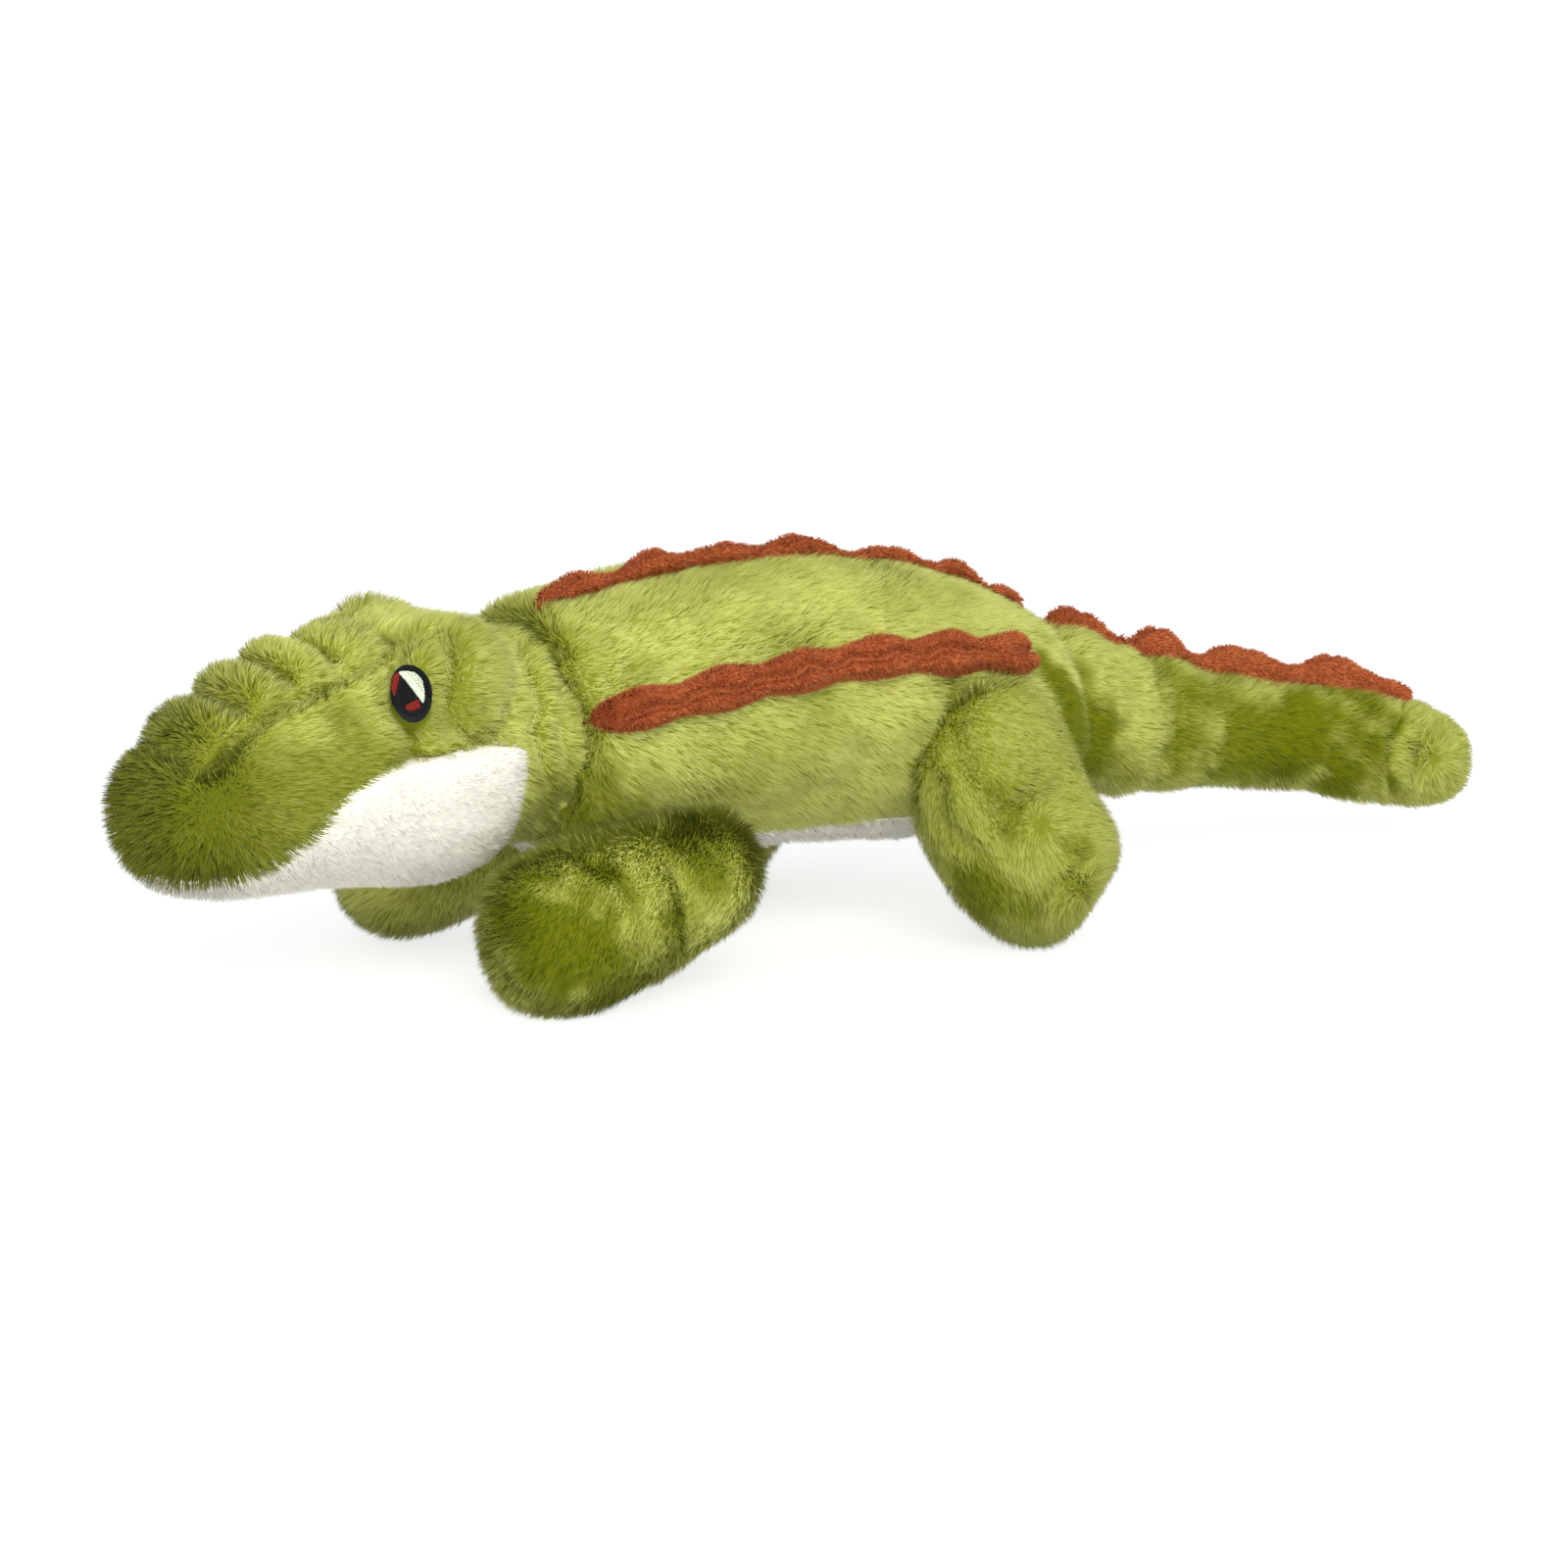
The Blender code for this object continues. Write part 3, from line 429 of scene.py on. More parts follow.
def fibre_mesh(name, strands, fibre, facing):
    """All the fibres of a coat as one mesh, each a strip of a quad and a triangle that ends in a tip."""
    count = len(strands)
    first = np.arange(count)[:, None]
    coat = bpy.data.meshes.new(name)
    coat.vertices.add(5 * count)
    coat.loops.add(7 * count)
    coat.polygons.add(2 * count)
    coat.vertices.foreach_set("co", strands.ravel())
    order = 5 * first + np.array([0, 1, 3, 2, 2, 3, 4])
    coat.loops.foreach_set("vertex_index", order.ravel().astype(np.int32))
    starts = 7 * first + np.array([0, 4])
    coat.polygons.foreach_set("loop_start", starts.ravel().astype(np.int32))
    coat.polygons.foreach_set("loop_total", np.tile((4, 3), count).astype(np.int32))
    coat.update(calc_edges=True)
    attribute(coat, "fibre", "FLOAT_COLOR", "color", fibre)
    attribute(coat, "custom_normal", "FLOAT_VECTOR", "vector", np.repeat(facing, 5, 0))
    return coat


# A fibre trimmed to less than this share of its length isn't made.
LEAST_PILE = 0.12
# The pile is shorter within this distance of a seam.
SEAM_TRIM = 0.0045
# The least painted shade on the skin under the pile, where the pile would shade it.
SKIN_SHADE = 0.35


def pile_on(
    shell, material, length, nap, covers=(), seams=(), whorls=(), lean=0.6, width=0.00025, density=1.0,
    seed=1, trim=None, shade=None, lock_size=0.0014, loose=0.085, ahead=0.0045, parting=0.0030,
):
    """Grows cut pile on a stuffed skin, as a second piece over it.

    nap gives the way it is brushed, trim the share of its length that is left and shade how much painted
    shade its colour takes, each by place. It leans away from seams and whorls, is shorter along seams, and
    takes painted shade in the seams' valleys and at the middles of whorls, as does the skin below it along
    seams.
    """
    rng = np.random.default_rng(seed)
    root, up = roots_on(shell, covers, ahead, density, rng)
    kept = np.ones(len(root)) if trim is None else trim(root)
    keep = kept > LEAST_PILE
    root, up, kept, count = root[keep], up[keep], kept[keep], int(keep.sum())
    comb, parted_shade = nap(root), np.zeros(count) if shade is None else shade(root)
    if len(seams):
        at, gap = nearest_seam(seams, root)
        comb = comb + unit(root - at) * (1.5 * np.exp(-((gap / parting) ** 2)))[:, None]
        kept = kept * (0.50 + 0.50 * smooth_step(gap / SEAM_TRIM))
        # Painted shade in the valley along each seam.
        parted_shade = np.maximum(parted_shade, 0.9 * np.exp(-((gap / (parting * 0.6)) ** 2)))
    for centre, reach in whorls:
        off = root - np.array(centre)
        far = np.linalg.norm(off, axis=1)
        comb = comb + unit(off) * (2.2 * np.exp(-((far / reach) ** 2)))[:, None]
        # Painted shade at the middle of each whorl.
        parted_shade = np.maximum(parted_shade, 0.6 * np.exp(-((far / reach * 4) ** 2)))
    comb = comb - up * (comb * up).sum(1, keepdims=True)
    drag = np.linalg.norm(comb, axis=1, keepdims=True)
    comb = comb / np.maximum(drag, 1e-9)
    # Fibres gather into small locks, each of which leans its own way and meets at its tips.
    warped = root + np.stack([ripple(root, 0.004, seed + k) for k in range(3)], 1) * lock_size * 0.6
    cell = np.floor(warped / lock_size).astype(np.int64) @ (73856093, 19349663, 83492791)
    lock = np.unique(cell, return_inverse=True)[1]
    members = np.bincount(lock)
    heart = np.stack([np.bincount(lock, root[:, k]) for k in range(3)], 1) / members[:, None]
    lock_lean = rng.normal(0, loose, (len(members), 3))[lock]
    lock_tone = rng.uniform(0, 1, len(members))[lock]
    stand = lean * drag.clip(0, 1) * (1 + 0.3 * ripple(root, 0.018, seed + 7))[:, None]
    long = length * kept * rng.uniform(0.75, 1.10, count) * (1 + 0.08 * ripple(root, 0.012, seed + 5))
    side = unit(rng.normal(size=(count, 3)) * 0.13 + up)
    stray = rng.normal(0, 0.06, (count, 3))
    low = unit(up * (1.25 - stand * 0.6) + comb * stand * 0.7 + lock_lean * 0.5 + stray)
    high = unit(up * (0.95 - stand) + comb * stand * 1.5 + lock_lean + stray * 1.6)
    middle = root + low * (long * 0.5)[:, None]
    tip = middle + high * (long * 0.55)[:, None]
    tip += (heart[lock] + low * (long * 0.9)[:, None] - tip) * 0.22
    across = unit(np.cross(low, side)) * (width * rng.uniform(0.7, 1.15, count) / 2)[:, None]
    foot = root - up * 0.0004
    corners = (foot - across, foot + across, middle - across * 0.85, middle + across * 0.85, tip)
    fibre = np.ones((count, 5, 4), np.float32)
    fibre[:, :, 0] = (0.0, 0.0, 0.5, 0.5, 1.0)
    fibre[:, :, 1] = (0.55 * lock_tone + 0.45 * rng.uniform(0, 1, count))[:, None]
    # The third value is each fibre's painted shade.
    fibre[:, :, 2] = (parted_shade * rng.uniform(0.8, 1.3, count)).clip(0, 1)[:, None]
    # Each fibre shades with the coat around it, tilted a little by its own lock.
    facing = unit(up * 0.85 + comb * stand * 0.25 + lock_lean * 0.9 + stray)
    coat = fibre_mesh(shell.name.replace("_plush", "_pile"), np.stack(corners, 1), fibre, facing)
    coat.materials.append(material)
    pile = bpy.data.objects.new(coat.name, coat)
    bpy.context.scene.collection.objects.link(pile)
    # Light passes through the fine fibres, so the coat casts no shadow and the skin casts it.
    pile.visible_shadow = pile.visible_diffuse = pile.visible_glossy = pile.visible_transmission = False
    points = points_of(shell)
    # The skin under the pile takes the ground's dark colour and painted shade, darker along the seams, as it
    # would lie in the pile's shade.
    skin = np.ones((len(points), 4), np.float32)
    skin[:, 0], skin[:, 1] = 0.05, 0.3
    skin[:, 2] = SKIN_SHADE if shade is None else np.maximum(SKIN_SHADE, shade(points))
    if len(seams):
        gap = nearest_seam(seams, points)[1]
        skin[:, 2] = np.maximum(skin[:, 2], np.exp(-((gap / parting) ** 2)))
    attribute(shell.data, "fibre", "FLOAT_COLOR", "color", skin)
    shell.data.materials.append(material)
    return pile


def sewn_to(body, skin, pile, node, bend=None):
    """The skin and its pile stand for the frame's solid, which is hidden, and without a bend they go with its
    body.
    bend names the body it is sewn to and where the cloth between them starts and ends to give, but only
    whether
    it is given is used: with one, the pieces keep their place in the world."""
    for piece in (skin, pile):
        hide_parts(node)
        if bend:
            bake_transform(piece)
        else:
            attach(piece, body)


def pile_shade_patches(skin, *patches, across=ACROSS, middle=MIDDLE, least=0.0):
    """Patches of painted shade where the pile is pushed up or lies in a fold and its dark depth would show,
    on both sides of the toy.

    Each is the pixel of its middle, its radius and how much painted shade it gives; least is the painted
    shade all over.
    """
    spots = []
    for x, y, radius, much in patches:
        for spot in seen_on(skin, (x, y)):
            off = 2 * ((spot - middle) @ np.array(across)) * np.array(across)
            spots += [(spot, radius, much), (spot - off, radius, much * 0.9)]

    def parted_shade(points):
        found = np.full(len(points), least)
        uneven = 1 + 0.22 * ripple(points, 0.012, 21) + 0.15 * ripple(points, 0.005, 22)
        for spot, radius, much in spots:
            far = np.linalg.norm(points - spot, axis=1) / radius
            found = np.maximum(found, much * smooth_step((1.75 * uneven - far) / 1.5))
        return found

    return parted_shade


def brushed_back(points):
    """The body's pile lies towards the tail, and down and out over the flanks."""
    way = np.tile((0.85, 0.1, -0.40), (len(points), 1))
    way[:, 1] *= np.sign(points[:, 1])
    return way


# How much fuller the ridge and the underside are stuffed than the frame's solids, in millimetres,
# by the pixel column that shows it.
RIDGE = (
    (560, 0.0), (640, 2.6), (760, 3.3), (900, 3.5), (980, 4.4), (1035, 3.8), (1065, 2.6), (1098, 1.8),
    (1138, 2.6), (1165, 2.6), (1190, 1.6), (1262, 1.6), (1283, 2.6), (1333, 4.9), (1380, 5.0), (1430, 2.4),
    (1480, 0.8),
)
UNDERSIDE = (
    (1080, 0), (1110, 5.0), (1135, 5.8), (1165, 4.6), (1200, 1.0), (1260, -0.6), (1330, -1.4),
    (1420, -1.2), (1460, 0),
)


def fuller(table, x):
    return np.interp(x, [column(pixel) for pixel, _ in table], [rise * 0.001 for _, rise in table])


def under_pile(line):
    """How deep the skin lies under the green pile, less where it is stuffed fuller."""

    def depth(points):
        upward = unit(points - nearest_on(line, points)[0])[:, 2]
        ridge = fuller(RIDGE, points[:, 0]) * smooth_step((upward - 0.25) / 0.6)
        return GREEN_DEPTH - ridge - fuller(UNDERSIDE, points[:, 0]) * smooth_step((-upward - 0.1) / 0.6)

    return depth


torso_line = middle_line((-0.105, 0, 0.062), (0.063, 0, 0.062), "torso", "belly_panel", reach=(-0.1, 1.1))
SOCKET_SOLIDS = ("neck", "front_left_leg", "front_right_leg", "rear_left_leg", "rear_right_leg", "tail_base")

HIP_FOLD = ((972, 690), (962, 740), (955, 800), (962, 850))
SHOULDER_FOLD = ((612, 700), (604, 745), (612, 800))
BELLY_FOLD = ((868, 770), (858, 820), (870, 850))
# Patches of painted shade on the torso, deepest at the fold where the tail meets the body.
TORSO_SHADE_PATCHES = (
    (585, 815, 0.011, 0.75), (620, 835, 0.010, 0.7), (570, 770, 0.006, 0.5), (780, 850, 0.010, 0.45),
    (960, 700, 0.006, 0.4), (905, 620, 0.007, 0.3), (860, 640, 0.005, 0.3), (700, 600, 0.005, 0.25),
    (660, 790, 0.006, 0.3), (760, 800, 0.006, 0.3), (940, 830, 0.008, 0.35), (1070, 690, 0.008, 1.2),
    (1084, 720, 0.009, 1.3), (1092, 750, 0.008, 1.2), (1055, 655, 0.003, 0.5), (650, 690, 0.004, 0.3),
    (820, 730, 0.004, 0.3), (930, 740, 0.005, 0.35),
)
torso = stuffed(sewn_shell("torso_plush", "torso", torso_line, under_pile(torso_line)), 0.0038)
torso_folds = [seen_on(torso, *fold) for fold in (HIP_FOLD, SHOULDER_FOLD, BELLY_FOLD)]
torso_folds += other_side(torso, torso_folds)
pressed(torso, torso_folds, 0.0016, 0.006)
torso_pile = pile_on(
    torso, green_pile, GREEN_LENGTH, brushed_back, (*SOCKET_SOLIDS, "belly_panel"),
    seams=torso_folds[:1] + torso_folds[3:4], shade=pile_shade_patches(torso, *TORSO_SHADE_PATCHES), seed=11,
)
sewn_to("torso", torso, torso_pile, "torso")

# Belly: one long oval panel of cream plush with a shorter pile, sewn to the torso all round. It
# lies flush with the green, and shows only between the legs.
CREAM_DEPTH = 0.0020
CREAM_LENGTH = 0.0030
# Its ground colour and its last, darker colour are faint painted shade deep in the pile.
cream_pile = pile_cloth(
    "cream_pile", dyed(240, 237, 220), dyed(250, 249, 236), dyed(254, 253, 245), (0.95, 0.94, 0.88, 1),
    tones=(0.98, 1.01),
)
belly = stuffed(sewn_shell("belly_plush", "belly_panel", torso_line, CREAM_DEPTH), 0.003)
belly_pile = pile_on(
    belly, cream_pile, CREAM_LENGTH, brushed_back, (*SOCKET_SOLIDS, "torso"), seed=12, density=0.5,
    width=0.00030,
)
sewn_to("torso", belly, belly_pile, "belly_panel")

# Neck: the short stuffed collar between torso and head, in the same green plush, which wrinkles
# where the head is turned.
neck_line = middle_line((-0.09, 0, 0.064), (-0.13, 0, 0.064), "neck", reach=(-0.1, 1.1))
neck = stuffed(sewn_shell("neck_plush", "neck", neck_line, GREEN_DEPTH), 0.0028)
NECK_CREASES = (
    ((520, 655), (536, 688), (546, 722), (538, 745), (548, 778), (556, 806), (544, 840)),
    ((548, 640), (566, 676), (574, 712)),
    ((570, 742), (576, 780), (572, 822)),
)
# Patches of painted shade on the neck.
NECK_SHADE_PATCHES = ((555, 800, 0.008, 0.5), (545, 850, 0.008, 0.7), (552, 700, 0.004, 0.3))
neck_creases = [seen_on(neck, *crease) for crease in NECK_CREASES]
neck_creases = [crease for crease in neck_creases if len(crease) > 1]
neck_creases += other_side(neck, neck_creases)
pressed(neck, neck_creases, 0.0042, 0.0030)
neck_pile = pile_on(
    neck, green_pile, GREEN_LENGTH, brushed_back, ("torso", "head", "lower_jaw", "belly_panel"),
    seams=neck_creases, shade=pile_shade_patches(neck, *NECK_SHADE_PATCHES), seed=13, ahead=0.003,
)
sewn_to("neck", neck, neck_pile, "neck", ("torso", (-0.094, 0, 0.064), (-0.110, 0, 0.064)))

# Head: the crown, the eye mounds and the snout's sides in green plush, stuffed hard and turned a
# little towards the viewer. The cloth is pulled in before and behind each eye and wrinkles behind.
HEAD_FORWARD = np.array([-0.996917, -0.078459, 0.0])
HEAD_SIDE = np.array([-0.078459, 0.996917, 0.0])
HEAD_BALL = np.array([-0.11351, 0.00029, 0.066])
EYE_HALF = (0.0051, 0.0071)


def on_head(ahead, aside, rise):
    """A place on the head, in metres ahead of its ball joint, towards its far side and up."""
    return HEAD_BALL + HEAD_FORWARD * ahead + HEAD_SIDE * aside + np.array([0, 0, rise])


def eye_axes(side):
    """An eye's middle and its axes across, up its length and out of the head, from its frame solid."""
    points = points_of(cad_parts[f"{side}_eye_patch"])
    middle = (points.min(0) + points.max(0)) / 2
    _, _, axes = np.linalg.svd(points - points.mean(0), full_matrices=False)
    tall, out = axes[0] * np.sign(axes[0][2]), axes[2]
    out = out * np.sign((middle - on_head(0.045, 0, 0.01)) @ out)
    return middle - tall * 0.0014, np.cross(tall, out), tall, out


EYES = {side: eye_axes(side) for side in ("left", "right")}


def past_eyes(points, start=1.0, end=2.0):
    """0 on the eyes, 1 away from them."""
    clear = np.ones(len(points))
    for middle, across, tall, _ in EYES.values():
        off = points - middle
        # A place on the far side of the head can line up with this eye, so its distance counts too.
        far = np.sqrt(((off @ across) / EYE_HALF[0]) ** 2 + ((off @ tall) / EYE_HALF[1]) ** 2)
        deep = np.linalg.norm(off, axis=1) > 0.020
        clear = np.minimum(clear, np.where(deep, 1, smooth_step((far - start) / (end - start))))
    return clear


def brushed_from_nose(points):
    """The head's pile lies back along the snout, and down and out over the front of the nose."""
    ahead = (points - HEAD_BALL) @ HEAD_FORWARD
    front = smooth_step((ahead - 0.072) / 0.022)[:, None]
    aside = (points - HEAD_BALL) @ HEAD_SIDE
    over_nose = np.array([0, 0, -0.30]) + HEAD_SIDE * aside[:, None] * 8
    return np.array([0.95, 0.05, -0.10]) * (1 - front) + over_nose * front


def nose_shade(points):
    """Painted shade on the nose and the snout's lower sides, which face forward and down, so one looks into
    the dark depth of their pile.
    """
    ahead = (points - HEAD_BALL) @ HEAD_FORWARD
    uneven = 0.004 * ripple(points, 0.010, 23)
    low = points[:, 2] - uneven
    nose = 0.84 * smooth_step((ahead - 0.066 + uneven) / 0.028) * smooth_step((0.080 - low) / 0.020)
    side = 0.72 * smooth_step((ahead - 0.014 + uneven) / 0.040) * smooth_step((0.088 - low) / 0.020)
    return np.maximum(nose, side)


def dropped_on(tree, places):
    """Where places above a piece fall onto it."""
    hits = [tree.ray_cast(Vector(place), Vector((0, 0, -1)))[0] for place in places]
    return np.array([hit for hit in hits if hit is not None])


EYE_FOLDS = (
    ((392, 652), (402, 680), (396, 705), (408, 736), (420, 760), (414, 778)),
    ((448, 650), (456, 682), (450, 715), (457, 742)),
)
NECK_FOLDS = (
    ((492, 648), (510, 672), (521, 692), (528, 712)),
    ((512, 728), (515, 742), (507, 755), (484, 760), (462, 750)),
)
# Patches of painted shade in the folds before and behind the eye and on the far eye mound.
HEAD_SHADE_PATCHES = (
    (392, 664, 0.0032, 0.9), (398, 690, 0.0030, 0.95), (402, 716, 0.0026, 0.9), (414, 752, 0.003, 0.8),
    (452, 668, 0.0026, 0.55), (455, 700, 0.0026, 0.6), (455, 738, 0.004, 0.7), (350, 606, 0.005, 0.7),
    (330, 615, 0.004, 0.7), (480, 752, 0.003, 0.7), (470, 640, 0.003, 0.4),
)
BAND_EDGE = 0.0172
ABOVE_HEAD = 0.06
HEAD_SOLIDS = ("head", "lower_jaw", "snout_band")
head_line = middle_line(on_head(0, 0, 0), on_head(0.103, 0, 0), *HEAD_SOLIDS, reach=(-0.1, 0.8))
head_shell = sewn_shell("head_plush", "head", head_line, lambda p: GREEN_DEPTH * past_eyes(p, 1.05, 2.2))
head = stuffed(head_shell, 0.0030, uneven=0.0004)
eye_folds = [seen_on(head, *fold) for fold in EYE_FOLDS]
neck_folds = [seen_on(head, *fold) for fold in NECK_FOLDS]
eye_folds += other_side(head, eye_folds, HEAD_BALL, HEAD_SIDE)
neck_folds += other_side(head, neck_folds, HEAD_BALL, HEAD_SIDE)
head_top = tree_of(head)
band_edges = []
for edge in (-BAND_EDGE, BAND_EDGE):
    steps = np.linspace(0.022, 0.092, 15)
    band_edges.append(dropped_on(head_top, [on_head(a, edge * (1.04 - a * 1.5), ABOVE_HEAD) for a in steps]))
pressed(head, eye_folds, 0.0042, 0.0036)
pressed(head, neck_folds, 0.0042, 0.0028)
pressed(head, band_edges, 0.0034, 0.0028)
# Painted shade in the folds round the eyes and on the far eye mound.
eye_hollow_shade = pile_shade_patches(head, *HEAD_SHADE_PATCHES, across=HEAD_SIDE, middle=HEAD_BALL)


def head_shade(points):
    return np.maximum(nose_shade(points), eye_hollow_shade(points))


eye_whorls = [(middle, 0.0075) for middle, *_ in EYES.values()]
head_pile = pile_on(
    head, green_pile, GREEN_LENGTH, brushed_from_nose, ("neck", "torso", "snout_band", "lower_jaw"),
    seams=eye_folds[:1] + eye_folds[2:3] + neck_folds + band_edges, whorls=eye_whorls,
    ahead=0.002, parting=0.0038, seed=14,
    trim=lambda p: 0.55 * (past_eyes(p, 1.0, 1.1) > 0.5) + 0.45 * past_eyes(p, 1.05, 1.7), shade=head_shade,
)
head_bend = ("neck", on_head(0.004, 0, 0), on_head(0.026, 0, 0))
sewn_to("head", head, head_pile, "head", head_bend)

# Snout band: the quilted top of the snout, a separate green strip sewn along both sides and
# stitched across three times and at the brow, so it stands up in four padded lumps.
BAND_SEAMS = (0.0340, 0.0546, 0.0680, 0.0814)
BAND_HALF_WIDTHS = (0.0160, 0.0155, 0.0150, 0.0145)
snout = stuffed(sewn_shell("snout_plush", "snout_band", head_line, GREEN_DEPTH * 0.8), 0.0021, uneven=0.0003)
snout_top = tree_of(snout)
band_seams = []
for ahead, half in zip(BAND_SEAMS, BAND_HALF_WIDTHS):
    steps = np.linspace(-1, 1, 9)
    places = [on_head(ahead + 0.0012 * cos(s * pi), s * half, ABOVE_HEAD) for s in steps]
    band_seams.append(dropped_on(snout_top, places))
pressed(snout, band_seams, 0.0052, 0.0025)
puffs = [(a + b) / 2 for a, b in zip(band_seams[:-1], band_seams[1:])]
pressed(snout, puffs, -0.0014, 0.0050)
snout_pile = pile_on(
    snout, green_pile, GREEN_LENGTH * 0.72, brushed_from_nose, ("head",), seams=band_seams + band_edges,
    trim=lambda p: 0.35 + 0.65 * past_eyes(p, 1.0, 2.2),
    # Painted shade, darker towards the front of the nose.
    shade=lambda p: 0.7 * smooth_step(((p - HEAD_BALL) @ HEAD_FORWARD - 0.078) / 0.02),
    lean=0.48, parting=0.0026, density=1.3, seed=15, ahead=0.002,
)
sewn_to("head", snout, snout_pile, "snout_band")

# Jaw: the cream mouth panel, one smooth stuffed lip that runs round under the snout from cheek
# to cheek, in the belly's short plush.
CHEEK_DROP, CHEEK_BACK = 0.0055, 0.0045
jaw = sewn_shell("jaw_plush", "lower_jaw", head_line, CREAM_DEPTH)
points = points_of(jaw)
cheek = smooth_step((0.062 - (points - HEAD_BALL) @ HEAD_FORWARD) / 0.040)
points[:, 2] -= CHEEK_DROP * cheek * smooth_step((0.060 - points[:, 2]) / 0.018)
points[:, 0] += CHEEK_BACK * cheek
place_points(jaw, points)
stuffed(jaw, 0.003, uneven=0.0004)
jaw_pile = pile_on(
    jaw, cream_pile, CREAM_LENGTH, brushed_from_nose, ("head", "neck"), seed=16, density=0.9, ahead=0.002
)
sewn_to("head", jaw, jaw_pile, "lower_jaw")

# Eyes: an oval embroidered on each side of the head, worked in rayon thread: a satin-stitched
# black rim and slanting pupil, dark red fill before and under it, and a pale mint crescent.
THREAD = 0.00030


def thread_yarn(name, colour, gloss):
    """Rayon thread: a fine twist along each stitch, a little uneven in colour."""
    yarn, nodes, links = new_material(name)
    shader = set_to(nodes["Principled BSDF"], {"Roughness": gloss, "Specular IOR Level": 0.12})
    twist = noise(nodes, links, 2600)
    dim = (*(0.62 * c for c in colour[:3]), 1)
    bright = (*(min(1, 1.25 * c + 0.004) for c in colour[:3]), 1)
    links.new(coloured_by(nodes, links, twist, ((0.3, dim), (0.7, bright))), shader.inputs["Base Color"])
    lift = set_to(nodes.new("ShaderNodeBump"), {"Strength": 0.5, "Distance": 0.0001})
    links.new(twist, lift.inputs["Height"])
    links.new(lift.outputs[0], shader.inputs["Normal"])
    return yarn


black_thread = thread_yarn("black_thread", dyed(17, 17, 19), 0.5)
red_thread = thread_yarn("dark_red_thread", dyed(132, 34, 26), 0.45)
mint_thread = thread_yarn("mint_thread", dyed(222, 240, 206), 0.45)


def eye_part(u, v):
    """Which thread lies at a place of the eye, in shares of its half sizes, u towards the tail."""
    if (u / 0.85) ** 2 + (v / 0.89) ** 2 > 1:
        return "rim"
    if u > (0.80 - v) * 0.55 - 0.20:
        return "mint"
    if -0.12 < v and u < (v - 0.58) * 0.66 - 0.24:
        return "red"
    if -0.84 < v - 0.25 * u < -0.50 and -0.36 < u < 0.44:
        return "red"
    return "black"


# The dark ground under the stitches is a little smaller than the eye's own patch, and each stitch
# dips into it at both ends.
GROUND_SHARE = 0.92
STITCH_DIP, STITCH_LIFT = -0.00008, 0.00016
RIM_STITCHES = 132
RIM_PATH = ((0.82, 0), (0.88, 0.0003), (0.96, 0.0003), (1.03, -0.0002))
for side, (middle, across, tall, out) in EYES.items():
    toward_tail = across * -np.sign(across @ HEAD_FORWARD)
    ground = copy_of(f"{side}_eye_patch", f"{side}_eye_ground")
    ground.data.materials.append(black_thread)
    points = points_of(ground)
    centre = (points.min(0) + points.max(0)) / 2
    place_points(ground, middle + (points - centre) * GROUND_SHARE)
    merged(ground)
    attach(ground, "head")
    patch_tree = tree_of(ground)
    stitches = {"black": [], "red": [], "mint": []}

    def on_patch(u, v, lift):
        start = Vector(middle + toward_tail * u * EYE_HALF[0] + tall * v * EYE_HALF[1] + out * 0.01)
        hit = patch_tree.ray_cast(start, Vector(-out))[0]
        base = hit if hit is not None else patch_tree.find_nearest(start - Vector(out) * 0.009)[0]
        return np.array(base) + out * lift

    for row, v in enumerate(np.arange(-0.9, 0.9, THREAD * 0.82 / EYE_HALF[1])):
        run, kind = [], None
        for u in np.arange(-0.92, 0.93, 0.035):
            here = eye_part(u, v)
            long = len(run) > (16 if kind == "black" else 20) - (row % 3) * 4
            if here != kind or long:
                if kind in stitches and len(run) > 1:
                    stitches[kind].append(run)
                run, kind = [], here
            run.append((u, v + 0.03 * u))
        if kind in stitches and len(run) > 1:
            stitches[kind].append(run)
    threads = {
        kind: [
            [
                on_patch(u, v, STITCH_DIP if i in (0, len(run) - 1) else STITCH_LIFT)
                for i, (u, v) in enumerate(run)
            ]
            for run in ([r[0], *r[1:-1:4], r[-1]] for r in runs)
        ]
        for kind, runs in stitches.items()
    }
    for turn in np.arange(0, 2 * pi, 2 * pi / RIM_STITCHES):
        threads["black"].append([on_patch(cos(turn) * r, sin(turn + 0.02) * r, lift) for r, lift in RIM_PATH])
    layers = (("black", "patch", black_thread), ("red", "iris", red_thread), ("mint", "glint", mint_thread))
    for kind, node, yarn in layers:
        line = bpy.data.curves.new(f"{side}_eye_{node}_stitches", "CURVE")
        line.dimensions = "3D"
        line.bevel_depth, line.bevel_resolution, line.use_fill_caps = THREAD / 2, 1, True
        for thread in threads[kind]:
            spline = line.splines.new("POLY")
            spline.points.add(len(thread) - 1)
            for point, place in zip(spline.points, thread):
                point.co = (*place, 1)
        sewn = bpy.data.objects.new(line.name, line)
        bpy.context.scene.collection.objects.link(sewn)
        only(sewn)
        bpy.ops.object.convert(target="MESH")
        sewn = bpy.context.active_object
        sewn.data.materials.clear()
        sewn.data.materials.append(yarn)
        bpy.ops.object.shade_smooth()
        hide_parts(f"{side}_eye_{node}")
        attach(sewn, "head")

# Front legs: a stuffed arm and round paw each, sewn flat to the shoulder, in green plush. A seam
# runs round the front of the paw, and the cloth is tucked where the arm meets it.
FRONT_LINES = {
    "front_left_leg": np.array(((-0.06898, -0.03298, 0.03948), (-0.117, -0.0515, 0.0225))),
    "front_right_leg": np.array(((-0.06898, 0.03357, 0.03948), (-0.112, 0.045, 0.0225))),
}
LEG_OUT = {"front": np.array([0, 0.61566, -0.78801]), "rear": np.array([0, 0.93969, -0.34202])}


